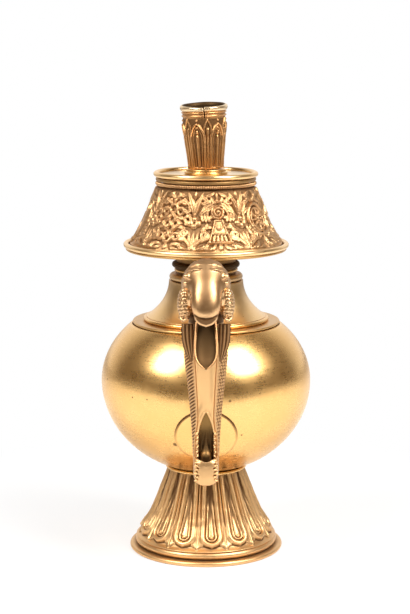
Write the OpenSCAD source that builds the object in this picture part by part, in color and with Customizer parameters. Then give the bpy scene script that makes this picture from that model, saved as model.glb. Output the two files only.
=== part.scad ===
// Tibetan bumpa: a ritual water vase of gilt sheet copper, raised and chased,
// with a lotus foot, a round bowl, a flared neck skirt, a makara spout at the
// front (-Y) and a lotus mouthpiece that plugs into the neck from above.
// Millimetres, +Z up, origin at the middle of the face it stands on.

/* [Foot] */
// Radius of the base plate that the vase stands on
base_r = 38.3; // [36:0.1:44]
// Height of the rounded edge of the base plate
base_h = 2.4; // [1.8:0.1:4]
// Sheet thickness in the middle of the base plate
base_wall = 1.2; // [0.8:0.1:1.6]
// Height of the rolled lip above the base plate
foot_lip_h = 3.6; // [2.5:0.1:6]
// Radius of the rolled lip
foot_lip_r = 35.4; // [33:0.1:36]
// Radius of the foot where its petals begin
foot_low_r = 34.6; // [31:0.1:35]
// Radius of the foot under the bowl
foot_top_r = 18.8; // [15:0.1:22]
// Sheet thickness of the foot, measured level
foot_wall = 1.6; // [1:0.1:2.5]
// Radius of the wire that covers the seam under the bowl
foot_wire_r = 0.6; // [0.4:0.1:1]

/* [Relief] */
// Number of lotus petals around the foot
foot_petals = 14; // [12:1:16]
// Depth of the chased ground of the foot
foot_relief = 0.9; // [0.4:0.1:1]
// How far the borders of the petals rise above the sheet
petal_rise = 0.3; // [0.1:0.1:0.6]
// How far the tips of the petals stand out
petal_tip = 1.5; // [0.5:0.1:2]
// Depth of the chased ground of the skirt
skirt_relief = 0.6; // [0.3:0.1:0.8]
// How far the emblems rise above the sheet of the skirt
emblem_rise = 0.4; // [0.2:0.1:0.8]

/* [Bowl] */
// Height of the widest line of the bowl
bowl_mid_z = 85.9; // [80:0.1:95]
// Radius of the bowl at its widest line
bowl_r = 52; // [48:0.1:56]
// Height of the bowl below its widest line
bowl_low_h = 46.3; // [43:0.1:49]
// Height of the bowl above its widest line, as if it closed at the top
bowl_up_h = 40.3; // [37:0.1:44]
// Sheet thickness of the bowl
bowl_wall = 1.3; // [1:0.1:2.5]
// Radius of the round opening in the shoulder
bowl_mouth_r = 36.6; // [34:0.1:39]

/* [Shoulder and neck] */
// Radius of the shoulder flange
shoulder_r = 36.4; // [34:0.1:39]
// Thickness of the shoulder flange
shoulder_h = 1.3; // [0.8:0.1:2.5]
// Radius of the step between the flange and the bell
step_r = 31; // [30:0.1:33]
// Height of that step
step_h = 1.9; // [1:0.1:3]
// Radius of the bell at its lower edge
bell_low_r = 29.5; // [26:0.1:30]
// Radius of the bell at its top
bell_top_r = 18.3; // [17.5:0.1:20]
// Height of the bell
bell_h = 17.9; // [14:0.1:22]
// Sheet thickness of the bell, measured level
bell_wall = 2; // [1.2:0.1:2.5]
// Height of the thick ring on top of the bell
neck_ring_h = 3.4; // [2:0.1:5]
// Radius of the thick ring
neck_ring_r = 18.1; // [17:0.1:20]
// Radius of the neck tube below the skirt
sleeve_r = 14.6; // [13.8:0.1:15]
// Sheet thickness of the neck tube
sleeve_wall = 1.2; // [0.8:0.1:1.6]
// Radius of the thin wire around the neck
neck_wire_r = 15.7; // [15.3:0.1:17]
// Height of the thin wire
neck_wire_h = 1.2; // [0.8:0.1:1.8]
// Radius of the dark ring below the skirt
upper_ring_r = 16.7; // [15.6:0.1:18]
// Height of the dark ring
upper_ring_h = 2.9; // [2:0.1:3.6]
// Bare neck between the rings
neck_bare_h = 1.2; // [0.6:0.1:2]

/* [Skirt] */
// Bare neck between the dark ring and the plate under the skirt
skirt_drop = 5.8; // [3:0.1:8]
// Thickness of the plate under the skirt
plate_h = 1.1; // [0.8:0.1:2]
// Radius of that plate
plate_r = 39.6; // [37:0.1:40.4]
// Radius of the rolled rim of the skirt
skirt_rim_r = 40.6; // [38:0.1:43]
// Radius of the wire inside the rolled rim
skirt_rim_wire = 1.3; // [0.9:0.1:1.8]
// Height of the chased wall of the skirt
skirt_h = 28; // [24:0.1:34]
// Radius of the skirt at its top
skirt_top_r = 24.8; // [22:0.1:26]
// Sheet thickness of the skirt, measured level
skirt_wall = 1.5; // [1:0.1:2.2]
// Radius of the beaded wire on top of the skirt
bead_wire_r = 0.95; // [0.6:0.05:1.3]
// Radius of the plate that closes the skirt
cover_r = 24.6; // [22:0.1:26]
// Thickness of the plate that closes the skirt
cover_h = 2; // [1.2:0.1:3]

/* [Mouthpiece] */
// Outer radius of the plug that enters the neck
plug_r = 8.2; // [7.6:0.1:9]
// Radius of the passage for the stem of the feather sprinkler
stem_r = 7; // [5.5:0.1:7]
// Depth of the plug in the neck
plug_depth = 16; // [10:0.5:24]
// Gap around the plug
plug_clear = 0.4; // [0.3:0.05:0.6]
// Radius of the rolled rim of the dish
dish_rim_r = 25.6; // [23:0.1:28]
// Radius of the wire inside the rim of the dish
dish_rim_wire = 1.3; // [0.9:0.1:1.8]
// Thickness of the floor of the dish
dish_h = 1.1; // [0.8:0.1:1.6]
// Radius of the stepped collar around the tube
collar_r = 10.6; // [9.8:0.1:13]
// Height of the stepped collar
collar_h = 2.6; // [1.6:0.1:4]
// Outer radius of the tube at its base
tube_low_r = 8.3; // [7.9:0.1:9.2]
// Outer radius of the tube at its top
tube_top_r = 11; // [10:0.1:13]
// Height of the tube between the collar and the lip
tube_h = 27.9; // [22:0.1:34]
// Sheet thickness of the tube
tube_wall = 1; // [0.7:0.1:1.3]
// Radius of the flared lip
lip_r = 11.6; // [11.2:0.1:14]
// Height of the flared lip
lip_h = 2.8; // [2:0.1:5]
// Width of the split where the ends of the lip meet
lip_split = 0.5; // [0.3:0.1:1.2]
// Lean of the hand-set tube to the left, in degrees
tube_lean = 2.2; // [0:0.1:3]

/* [Spout] */
// Height where the spout enters the bowl
spout_z = 68.1; // [65:0.1:71]
// Radius of the escutcheon around the root of the spout
plaque_r = 15; // [12:0.1:17]
// Thickness of the escutcheon
plaque_h = 0.8; // [0.6:0.1:2]
// Slope of the root of the spout, in degrees below level
root_drop = 18; // [12:0.5:22]
// Radius of the root at the escutcheon
root_r = 6.4; // [6:0.1:8]
// Radius of the water way in the root
channel_r = 3.2; // [2.4:0.1:3.4]
// Distance between the bowl and the back of the spout
finger_gap = 8; // [6:0.1:12]
// How far the shaft swings outward between its root and the head
spout_lean = 4; // [0:0.1:8]
// Depth of the spout from front to back at its base
spout_low_depth = 9; // [8:0.1:11]
// Depth of the spout at the height of its greatest width
spout_depth = 11.5; // [10:0.1:14]
// Height of the base of the spout
spout_low_z = 57.6; // [56:0.1:59]
// Height of the greatest width of the spout
spout_wide_z = 110.6; // [106:0.1:115]
// Height of the top of the spout's shaft
spout_top_z = 127.1; // [124:0.1:130]
// Half the width of the spout at its base
spout_low_w = 5.9; // [5.5:0.1:7]
// Half the greatest width of the spout
spout_wide_w = 10; // [9:0.1:11.5]
// Half the width of the spout below the head
spout_top_w = 8; // [7:0.1:9.5]
// Sheet thickness of the spout
spout_wall = 1.4; // [1:0.1:1.8]
// Share of the half width that the smooth front strip takes
strip_share = 0.52; // [0.4:0.01:0.65]
// Share of the half width that the strip takes at the open jaws
jaw_share = 0.84; // [0.7:0.01:0.88]
// Height of the point of the arch of the open jaws
jaw_arch_z = 85.1; // [80:0.1:91]
// Half the width of that arch
jaw_arch_w = 3.3; // [2.4:0.1:3.5]
// How far the lower jaw reaches in front of the shaft
jaw_reach = 5.5; // [3:0.1:8]
// Depth of the chin below the base of the spout
jaw_drop = 7; // [5:0.1:9]

/* [Dragon head] */
// Height of the head
head_h = 29.2; // [25:0.1:33]
// Half the width of the head at the eyes
head_w = 12; // [11:0.1:13.5]
// Half the width of the cheeks
cheek_w = 6.6; // [6:0.1:7.4]
// Half the width of the snout
snout_w = 7.3; // [6:0.1:8.5]
// Half the height of the snout
snout_h = 10.5; // [8:0.1:11.5]
// How far the snout reaches in front of the shaft
snout_reach = 13; // [10:0.1:16]
// Length of the pouring lip
tongue_l = 22; // [18:0.1:25]
// Half the width of the pouring lip
tongue_w = 5.4; // [4.5:0.1:6]
// Slope of the pouring lip, in degrees below level
tongue_drop = 66; // [55:1:72]
// Half the height of the tuft behind each cheek
tuft_h = 6.4; // [5:0.1:6.8]
// Half the width of that tuft
tuft_w = 2.9; // [2.2:0.1:3.2]
// Length of the pointed fin below each tuft
fin_l = 17.5; // [13:0.1:20]
// Half the width of that fin
fin_w = 2.7; // [2:0.1:3]
// Half the thickness of that fin
fin_h = 1.1; // [0.8:0.1:1.4]

/* [Fits] */
// Gap that the solder fills between pieces of the vessel
solder_gap = 0.06; // [0.03:0.01:0.1]
// Gap between the mouthpiece and its seat on the skirt
seat_gap = 0.25; // [0.15:0.05:0.5]

/* [Hidden] */
$fn = 96;
steps = 24;
cut = 1;

gilt = [0.80, 0.62, 0.33];
pale_gilt = [0.87, 0.74, 0.48];
chased_gilt = [0.70, 0.51, 0.29];
dark_gilt = [0.42, 0.28, 0.13];

// Turn of one petal of the foot and of the endless knot from the front, in degrees
petal_turn = 5;
knot_turn = -33.5;
// Share of its place on the foot that a petal takes
petal_share = 0.86;
// Height of the panel in which the emblems are drawn
panel_h = 28;

// Where each flared sheet bends near its two ends, as shares of its level and upright size
foot_low_bend = [0.29, 0.18];
foot_top_bend = [0.33, 0.5];
bell_low_bend = [0.62, 0.25];
bell_top_bend = [0.03, 0.4];
skirt_low_bend = [0.35, 0.18];
skirt_top_bend = [0.31, 0.54];
tube_low_bend = [0.19, 0.3];
tube_top_bend = [0.19, 0.4];

// Heights of the stack, from the floor upward
foot_lip_z = base_h + solder_gap;
foot_low_z = foot_lip_z + foot_lip_h + solder_gap;
bowl_rim_z = bowl_mid_z + bowl_up_h * sqrt(1 - pow(bowl_mouth_r / bowl_r, 2));
foot_seat_r = foot_top_r - foot_wall;
foot_top_z = bowl_mid_z - bowl_low_h * sqrt(1 - pow(foot_seat_r / bowl_r, 2)) - solder_gap;
shoulder_z = bowl_rim_z + solder_gap;
step_z = shoulder_z + shoulder_h + solder_gap;
bell_z = step_z + step_h + solder_gap;
bell_top_z = bell_z + bell_h;
neck_ring_z = bell_top_z + solder_gap;
neck_wire_z = neck_ring_z + neck_ring_h + neck_bare_h;
upper_ring_z = neck_wire_z + neck_wire_h + neck_bare_h / 2;
plate_z = upper_ring_z + upper_ring_h + skirt_drop;
skirt_rim_z = plate_z + plate_h + solder_gap + skirt_rim_wire;
skirt_low_r = skirt_rim_r - 2 * skirt_rim_wire;
skirt_z = skirt_rim_z + skirt_rim_wire;
skirt_top_z = skirt_z + skirt_h;
bead_z = skirt_top_z + solder_gap + bead_wire_r;
cover_z = bead_z + bead_wire_r + solder_gap;
dish_z = cover_z + cover_h + seat_gap;
dish_rim_z = dish_z + dish_rim_wire;
collar_z = dish_z + dish_h + solder_gap;
tube_z = collar_z + collar_h + solder_gap + tube_low_r * sin(tube_lean);

// Radii of the neck passage
ring_bore_r = sleeve_r + solder_gap;
socket_r = plug_r + plug_clear;
socket_out_r = socket_r + sleeve_wall;
bell_bore_r = bell_low_r - bell_wall;

// Places on the spout, as distances in front of the axis
spout_d = bowl_r * sqrt(1 - pow((spout_z - bowl_mid_z) / bowl_low_h, 2));
plaque_tilt = atan2((bowl_mid_z - spout_z) * bowl_r * bowl_r, spout_d * bowl_low_h * bowl_low_h);
spout_back_d = bowl_r + finger_gap;
root_end_z = spout_z - (spout_back_d - spout_d) * tan(root_drop);
lean_z = spout_z + root_r / 2;
shaft_front_d = spout_back_d + spout_lean + spout_depth;
head_z = spout_top_z + solder_gap;
head_d = shaft_front_d - spout_depth / 2;
head_depth = spout_depth * 0.75;
face_push = spout_depth * 0.14;
snout_z = head_z + head_h * 0.42;
snout_d = shaft_front_d + snout_reach - snout_w;
tuft_z = head_z + tuft_h;
tuft_d = head_d + face_push * 0.6;
tuft_x = cheek_w + tuft_w + solder_gap * 3;
fin_x = tongue_w + solder_gap * 4 + fin_w;

// A point at share t of a cubic curve with four control points
function curve_point(p, t) =
    pow(1 - t, 3) * p[0] + 3 * pow(1 - t, 2) * t * p[1] + 3 * (1 - t) * t * t * p[2] + pow(t, 3) * p[3];

function curve(p) = [for (i = [0:steps]) curve_point(p, i / steps)];

function turned(list) = [for (i = [len(list) - 1:-1:0]) list[i]];

// A sheet of even level thickness behind a curve of radius and height
function sheet_profile(line, wall) = concat(line, turned(inward(line, wall)));

function inward(line, wall) = [for (p = line) p - [wall, 0]];

// A coarser line, sunk to the ground of its relief except at its two ends
function sunk(line, depth) = concat(
    [line[0]],
    [for (i = [2:4:steps - 2]) line[i] - [depth, 0]],
    [line[steps]]);

// A coarser line that stands out by a rise, and further toward the tips at its lower end
function raised(line, rise, tip) = [for (i = [0:6:steps])
    line[i] + [rise + tip * smooth(max(0, min(1, (0.38 - i / steps) / 0.28))), 0]];

// A flat ring with a round outer edge
function bullnose(r_in, r_out, z, h) = concat(
    [[r_in, z]],
    [for (i = [0:12]) [r_out - h / 2 + h / 2 * cos(-90 + i * 15), z + h / 2 + h / 2 * sin(-90 + i * 15)]],
    [[r_in, z + h]]);

// Height of the bowl's surface, grown by a distance, at an angle from its lowest point
function bowl_point(turn, grow) = [
    (bowl_r + grow) * sin(turn),
    bowl_mid_z - ((turn < 90 ? bowl_low_h : bowl_up_h) + grow) * cos(turn)];

function bowl_line(last, grow) = [for (i = [0:2 * steps]) bowl_point(last * i / (2 * steps), grow)];

// Angle at which the bowl, grown by a distance, reaches a height above its widest line
function bowl_turn(z, grow) = 90 + asin((z - bowl_mid_z) / (bowl_up_h + grow));

// The line of a flared sheet between its two ends
function flare(low, top, low_bend, top_bend) =
    let (size = top - low)
    curve([
        low,
        low + [size[0] * low_bend[0], size[1] * low_bend[1]],
        top - [size[0] * top_bend[0], size[1] * top_bend[1]],
        top]);

foot_line = flare([foot_low_r, foot_low_z], [foot_top_r, foot_top_z], foot_low_bend, foot_top_bend);
bell_line = flare([bell_low_r, bell_z], [bell_top_r, bell_top_z], bell_low_bend, bell_top_bend);
skirt_line = flare([skirt_low_r, skirt_z], [skirt_top_r, skirt_top_z], skirt_low_bend, skirt_top_bend);
tube_line = flare([tube_low_r, 0], [tube_top_r, tube_h], tube_low_bend, tube_top_bend);

// Side faces of a solid skinned over m closed rings of n points
function side_faces(n, m) = concat(
    [for (k = [0:m - 2], i = [0:n - 1]) [k * n + i, (k + 1) * n + i, (k + 1) * n + (i + 1) % n]],
    [for (k = [0:m - 2], i = [0:n - 1]) [k * n + i, (k + 1) * n + (i + 1) % n, k * n + (i + 1) % n]]);

// A solid skinned over rings that bulge all round
module skin(rings) {
    n = len(rings[0]);
    m = len(rings);
    polyhedron(
        points = [for (ring = rings) each ring],
        faces = concat(
            [[for (i = [0:n - 1]) i]],
            side_faces(n, m),
            [[for (i = [n - 1:-1:0]) (m - 1) * n + i]]),
        convexity = 6);
}

// A solid skinned over rings that go out along one face of a wall and back along the other
module wall_skin(rings) {
    n = len(rings[0]);
    m = len(rings);
    top = (m - 1) * n;
    polyhedron(
        points = [for (ring = rings) each ring],
        faces = concat(
            [for (i = [0:n / 2 - 2]) [i, i + 1, n - 2 - i, n - 1 - i]],
            side_faces(n, m),
            [for (i = [0:n / 2 - 2]) [top + n - 1 - i, top + n - 2 - i, top + i + 1, top + i]]),
        convexity = 6);
}

// A level oval at a height, w by h about a point in front of the axis
function oval(w, h, d, z) = [for (i = [0:27]) [w * cos(i * 360 / 28), -d + h * sin(i * 360 / 28), z]];

// Part of a level oval wall between two angles
function oval_wall(w, h, wall, d, z, from, to) = concat(
    [for (i = [0:20]) let (a = from + (to - from) * i / 20) [w * cos(a), -d + h * sin(a), z]],
    [for (i = [20:-1:0]) let (a = from + (to - from) * i / 20)
        [(w - wall) * cos(a), -d + (h - wall) * sin(a), z]]);

// Shape of the spout's shaft at share t of the way to its widest level and on to the head
function smooth(t) = t * t * (3 - 2 * t);
function shaft_w(z) = z < spout_wide_z
    ? spout_low_w + (spout_wide_w - spout_low_w) * pow((z - spout_low_z) / (spout_wide_z - spout_low_z), 1.6)
    : spout_wide_w + (spout_top_w - spout_wide_w) * smooth((z - spout_wide_z) / (spout_top_z - spout_wide_z));
function shaft_half(z) = (spout_low_depth + (spout_depth - spout_low_depth)
    * smooth(min(1, (z - spout_low_z) / (spout_wide_z - spout_low_z)))) / 2;
function shaft_d(z) = spout_back_d + shaft_half(z)
    + spout_lean * smooth(max(0, (z - lean_z) / (spout_top_z - lean_z)));

shaft_levels = [for (i = [0:11]) spout_low_z + (spout_top_z - spout_low_z) * i / 11];
strip_seam = 1;

// Half the angle that the front strip takes at a height; it widens toward the open jaws
function strip_angle(z) = asin(strip_share + (jaw_share - strip_share)
    * smooth(max(0, min(1, (jaw_arch_z - z) / (jaw_arch_z - root_end_z)))));

// The axis of the spout's root, from the surface of the bowl outward
module along_root() {
    translate([0, -spout_d, spout_z])
        rotate([90 + root_drop, 0, 0])
            children();
}

module water_way() {
    along_root()
        translate([0, 0, -spout_back_d / 3])
            cylinder(r = channel_r, h = spout_back_d);
}

// The bowl as a solid, grown by a distance
module bowl_solid(grow) {
    rotate_extrude()
        polygon(concat(bowl_line(150, grow), [[0, bowl_point(150, grow)[1]]]));
}

// A drawing that stands out from a turned sheet, facing an angle from the front
module chased(line, depth, rise, tip, turn) {
    root = depth * 1.4;
    rotate([0, 0, turn])
        intersection() {
            rotate_extrude()
                polygon(concat(raised(line, rise, tip), turned(raised(line, -root, 0))));
            rotate([90, 0, 0])
                linear_extrude(2 * line[0][0])
                    children();
        }
}

// The frame of the mouthpiece's tube, which leans to the left
module leaning() {
    translate([0, 0, tube_z])
        rotate([0, -tube_lean, 0])
            children();
}

module on_side(side) {
    mirror([side < 0 ? 1 : 0, 0, 0])
        children();
}

// Foot

// The base plate is thicker at its edge, under the wall of the foot
module base_plate() {
    seat_r = foot_low_r - 3 * foot_wall;
    color(gilt)
        rotate_extrude()
            polygon(concat(
                [[0, base_wall], [0, 0]],
                bullnose(seat_r, base_r, 0, base_h),
                [[seat_r, base_wall]]));
}

module foot_lip() {
    color(pale_gilt)
        rotate_extrude()
            polygon(bullnose(foot_low_r - foot_wall, foot_lip_r, foot_lip_z, foot_lip_h));
}

// Outline of a hanging petal, drawn at a share of its width
function petal_outline(share) =
    let (half = share * petal_share * sin(180 / foot_petals),
         low = foot_line[5],
         drop = (low[1] - foot_line[1][1]) * (0.4 + 0.6 * share))
    concat(
        [for (i = [0:6]) [half * low[0] * cos(180 + i * 30), low[1] + drop * sin(180 + i * 30)]],
        [for (i = [12, 23]) [half * foot_line[i][0], foot_line[i][1]]],
        [for (i = [23, 12]) [-half * foot_line[i][0], foot_line[i][1]]]);

// A petal has a broad border around a groove and a tongue in the middle
module petal_mark() {
    difference() {
        polygon(petal_outline(1));
        difference() {
            polygon(petal_outline(0.66));
            polygon(petal_outline(0.5));
        }
    }
}

// A narrow leaf that shows between two petals and runs up as a rib
module rib_mark() {
    w = (1 - petal_share) * sin(180 / foot_petals) * 0.8;
    polygon([
        [0, foot_line[1][1]],
        [w * foot_line[4][0], foot_line[4][1]],
        [w * foot_line[23][0], foot_line[23][1]],
        [-w * foot_line[23][0], foot_line[23][1]],
        [-w * foot_line[4][0], foot_line[4][1]]]);
}

module lotus_foot() {
    color(chased_gilt) {
        rotate_extrude()
            polygon(concat(sunk(foot_line, foot_relief), turned(inward(foot_line, foot_wall))));
        for (i = [0:foot_petals - 1]) {
            chased(foot_line, foot_relief, petal_rise, petal_tip, petal_turn + i * 360 / foot_petals)
                petal_mark();
            chased(foot_line, foot_relief, 0, 0, petal_turn + (i + 0.5) * 360 / foot_petals)
                rib_mark();
        }
    }
}

module foot_wire() {
    color(gilt)
        rotate_extrude()
            translate([foot_top_r + 1.6 * foot_wire_r, foot_top_z - foot_wire_r / 2])
                circle(r = foot_wire_r);
}

// Bowl

module body_bowl() {
    outer_turn = bowl_turn(bowl_rim_z, 0);
    inner_turn = bowl_turn(bowl_rim_z, -bowl_wall);
    color(gilt)
        difference() {
            rotate_extrude()
                polygon(concat(bowl_line(outer_turn, 0), turned(bowl_line(inner_turn, -bowl_wall))));
            water_way();
        }
}

module shoulder_flange() {
    color(gilt)
        rotate_extrude()
            polygon(bullnose(bell_bore_r, shoulder_r, shoulder_z, shoulder_h));
}

module shoulder_step() {
    color(gilt)
        rotate_extrude()
            polygon(bullnose(bell_bore_r, step_r, step_z, step_h));
}

// Neck

module bell_neck() {
    color(pale_gilt)
        rotate_extrude()
            polygon(sheet_profile(bell_line, bell_wall));
}

module neck_ring() {
    color(pale_gilt)
        rotate_extrude()
            polygon(bullnose(ring_bore_r, neck_ring_r, neck_ring_z, neck_ring_h));
}

module neck_wire() {
    color(gilt)
        rotate_extrude()
            polygon(bullnose(ring_bore_r, neck_wire_r, neck_wire_z, neck_wire_h));
}

module neck_upper_ring() {
    color(dark_gilt)
        rotate_extrude()
            polygon(bullnose(ring_bore_r, upper_ring_r, upper_ring_z, upper_ring_h));
}

// The neck tube is wide below the skirt and narrows inside it to a socket
module neck_tube() {
    shoulder = plate_z + plate_h;
    taper = sleeve_r - socket_out_r;
    color(gilt)
        rotate_extrude()
            polygon([
                [sleeve_r - sleeve_wall, neck_ring_z],
                [sleeve_r, neck_ring_z],
                [sleeve_r, shoulder],
                [socket_out_r, shoulder + taper],
                [socket_out_r, cover_z + cover_h],
                [socket_r, cover_z + cover_h],
                [socket_r, shoulder + taper],
                [sleeve_r - sleeve_wall, shoulder]]);
}

// Skirt

module skirt_plate() {
    color(gilt)
        rotate_extrude()
            polygon(bullnose(ring_bore_r, plate_r, plate_z, plate_h));
}

module skirt_rim() {
    color(pale_gilt)
        rotate_extrude()
            translate([skirt_rim_r - skirt_rim_wire, skirt_rim_z])
                circle(r = skirt_rim_wire);
}

// Emblems of the skirt, drawn in a panel with its lower edge at zero

// An outline made of its right half, given from the top down, and its mirror image
function both_halves(half) = concat(half, turned([for (p = half) if (p[0] > 0) [-p[0], p[1]]]));

module disc_mark(y, r) {
    translate([0, y])
        circle(r = r, $fn = 12);
}

// A diamond of crossed cords with a loop at each corner
module knot_mark() {
    polygon(both_halves([
        [0, 19.4], [2.6, 21], [6.6, 20.4], [6, 16.4], [4.8, 14.8], [6.4, 13.2],
        [4.8, 11.6], [6, 10], [6.6, 6.6], [2.6, 5.6], [0, 7]]));
    disc_mark(20, 2.8);
    disc_mark(6, 2.4);
}

// A bell-shaped cloth below a round canopy with streamers
module banner_mark() {
    polygon(both_halves([[0, 24.6], [3.4, 21.6], [6.6, 19.6], [7, 14.6], [3.2, 14.8], [2.4, 14], [5.2, 4]]));
}

module wheel_mark() {
    difference() {
        disc_mark(14, 7);
        disc_mark(14, 4.8);
    }
    disc_mark(14, 3.2);
}

module parasol_mark() {
    polygon(both_halves([[0, 23.6], [4.4, 20.8], [6.6, 13], [0.8, 13.6], [0.8, 2]]));
}

// Two fish that cross
module fish_mark() {
    fish = [[-4.6, 22.4], [-0.6, 21.4], [4.4, 15], [4, 7], [6.4, 2.6], [1.2, 2.6], [1.4, 11], [-3, 18]];
    polygon(fish);
    mirror([1, 0])
        polygon(fish);
}

module vase_mark() {
    polygon(both_halves([
        [0, 22.4], [3.4, 25], [3.6, 20.6], [2, 18.8], [2.2, 15.4],
        [5.2, 12.4], [5, 8.4], [2.6, 5.6], [3.6, 3.4]]));
}

module lotus_mark() {
    polygon(both_halves([
        [0, 23.4], [1.8, 19.6], [4, 20.8], [4.6, 16.4],
        [7, 16.2], [5.6, 9.6], [1, 6.4], [1, 1.4]]));
}

module conch_mark() {
    polygon([[-1.6, 24.2], [2.6, 21.6], [5.4, 17], [4.6, 11], [-0.6, 3.6], [-3.4, 9.4], [-3.8, 16]]);
}

// The plant between two emblems, with curled leaves and a bud
module plant_mark() {
    polygon(both_halves([
        [0, 20.6], [3.4, 25.8], [1.2, 17.6], [3, 14.4],
        [1.4, 11], [5, 8], [4.6, 4.4], [1.4, 1]]));
}

module emblem_mark(i) {
    if (i == 0) knot_mark();
    if (i == 1) banner_mark();
    if (i == 2) wheel_mark();
    if (i == 3) parasol_mark();
    if (i == 4) fish_mark();
    if (i == 5) vase_mark();
    if (i == 6) lotus_mark();
    if (i == 7) conch_mark();
}

// A drawing on the skirt that faces an angle from the front
module on_skirt(turn) {
    chased(skirt_line, skirt_relief, emblem_rise, 0, turn)
        translate([0, skirt_z])
            scale(skirt_h / panel_h)
                children();
}

module emblem_skirt() {
    emblems = 8;
    pitch = 360 / emblems;
    color(chased_gilt) {
        rotate_extrude()
            polygon(concat(sunk(skirt_line, skirt_relief), turned(inward(skirt_line, skirt_wall))));
        for (i = [0:emblems - 1]) {
            on_skirt(knot_turn + i * pitch)
                emblem_mark(i);
            on_skirt(knot_turn + (i + 0.5) * pitch)
                plant_mark();
        }
    }
}

module beaded_wire() {
    color(chased_gilt)
        rotate_extrude()
            translate([skirt_top_r - bead_wire_r, bead_z])
                circle(r = bead_wire_r);
}

module skirt_cover() {
    color(gilt)
        rotate_extrude()
            polygon(bullnose(socket_out_r + solder_gap, cover_r, cover_z, cover_h));
}

// Mouthpiece

module mouth_plug() {
    plug_top = collar_z + collar_h;
    color(gilt)
        rotate_extrude()
            translate([stem_r, dish_z - plug_depth])
                square([plug_r - stem_r, plug_top - dish_z + plug_depth]);
}

module drip_dish() {
    color(pale_gilt)
        rotate_extrude()
            translate([plug_r + solder_gap, dish_z])
                square([dish_rim_r - 2 * dish_rim_wire - plug_r - 2 * solder_gap, dish_h]);
}

module dish_rim() {
    color(pale_gilt)
        rotate_extrude()
            translate([dish_rim_r - dish_rim_wire, dish_rim_z])
                circle(r = dish_rim_wire);
}

module tube_collar() {
    bore = plug_r + solder_gap;
    color(gilt)
        rotate_extrude()
            polygon([
                [bore, collar_z],
                [collar_r, collar_z],
                [collar_r, collar_z + collar_h / 2],
                [collar_r - collar_h / 3, collar_z + collar_h / 2],
                [collar_r - collar_h / 3, collar_z + collar_h],
                [bore, collar_z + collar_h]]);
}

module lotus_tube() {
    color(chased_gilt)
        leaning()
            rotate_extrude()
                polygon(sheet_profile(tube_line, tube_wall));
}

module mouth_lip() {
    bore = tube_top_r - 1.4 * tube_wall;
    base = tube_h + solder_gap;
    color(gilt)
        leaning()
            difference() {
                rotate_extrude()
                    polygon([
                        [bore, base],
                        [tube_top_r, base],
                        [lip_r, base + lip_h * 0.45],
                        [lip_r, base + lip_h * 0.7],
                        [lip_r - lip_h * 0.2, base + lip_h],
                        [bore + lip_h * 0.1, base + lip_h]]);
                translate([-lip_split / 2, -lip_r - cut, base - cut])
                    cube([lip_split, lip_r, lip_h + 2 * cut]);
            }
}

// Spout

module spout_plaque() {
    reach = plaque_r / 2;
    color(chased_gilt)
        difference() {
            intersection() {
                bowl_solid(solder_gap + plaque_h);
                translate([0, -spout_d, spout_z])
                    rotate([90 + plaque_tilt, 0, 0])
                        translate([0, 0, -reach])
                            cylinder(r = plaque_r, h = 2 * reach);
            }
            bowl_solid(solder_gap);
            water_way();
        }
}

module spout_root() {
    tip = (spout_back_d - spout_d) / cos(root_drop) + root_r;
    color(chased_gilt)
        difference() {
            along_root()
                translate([0, 0, -root_r])
                    cylinder(r1 = root_r, r2 = spout_low_w, h = tip + root_r);
            bowl_solid(2 * solder_gap + plaque_h);
            translate([-2 * root_r, -spout_back_d + solder_gap - 4 * root_r, root_end_z - 2 * root_r])
                cube(4 * root_r);
            water_way();
        }
}

// The scaled sheet that wraps the back and sides of the shaft
module spout_shaft() {
    color(chased_gilt)
        difference() {
            wall_skin([for (z = shaft_levels)
                oval_wall(shaft_w(z), shaft_half(z), spout_wall, shaft_d(z), z,
                    strip_angle(z) - 90, 270 - strip_angle(z))]);
            water_way();
        }
}

// The smooth strip that closes the front of the shaft, cut out above the open jaws
module spout_front_strip() {
    arch = [for (i = [0:8]) let (t = i / 8)
        [jaw_arch_w * (1 - t * t), spout_low_z + (jaw_arch_z - spout_low_z) * (0.55 + 0.45 * t)]];
    color(pale_gilt)
        difference() {
            wall_skin([for (z = shaft_levels)
                oval_wall(shaft_w(z), shaft_half(z), spout_wall, shaft_d(z), z,
                    -90 - strip_angle(z) + strip_seam, -90 + strip_angle(z) - strip_seam)]);
            translate([0, -spout_back_d, 0])
                rotate([90, 0, 0])
                    linear_extrude(2 * spout_depth)
                        polygon(concat(
                            [[jaw_arch_w, spout_low_z - cut]],
                            arch,
                            turned([for (p = arch) [-p[0], p[1]]]),
                            [[-jaw_arch_w, spout_low_z - cut]]));
        }
}

// The roof of the open jaws, a plate that lies behind the arch in the shaft
function palate_front(z, w) = shaft_d(z) - 2 * solder_gap
    + (shaft_half(z) - spout_wall) * sqrt(1 - pow(w / (shaft_w(z) - spout_wall), 2));

module makara_palate() {
    w = jaw_arch_w + solder_gap;
    wall = spout_wall / 2;
    rise = jaw_arch_z + 3 * spout_wall - spout_low_z;
    color(dark_gilt)
        skin([for (i = [0:6])
            let (z = spout_low_z + rise * i / 6, front = palate_front(z, w))
            [[-w, -front, z], [w, -front, z], [w, wall - front, z], [-w, wall - front, z]]]);
}

// An upright oval at a distance in front of the axis
function jaw_ring(w, low, high, d) = [for (i = [0:19])
    [w * cos(i * 18), -d, (low + high) / 2 + (high - low) / 2 * sin(i * 18)]];

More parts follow.
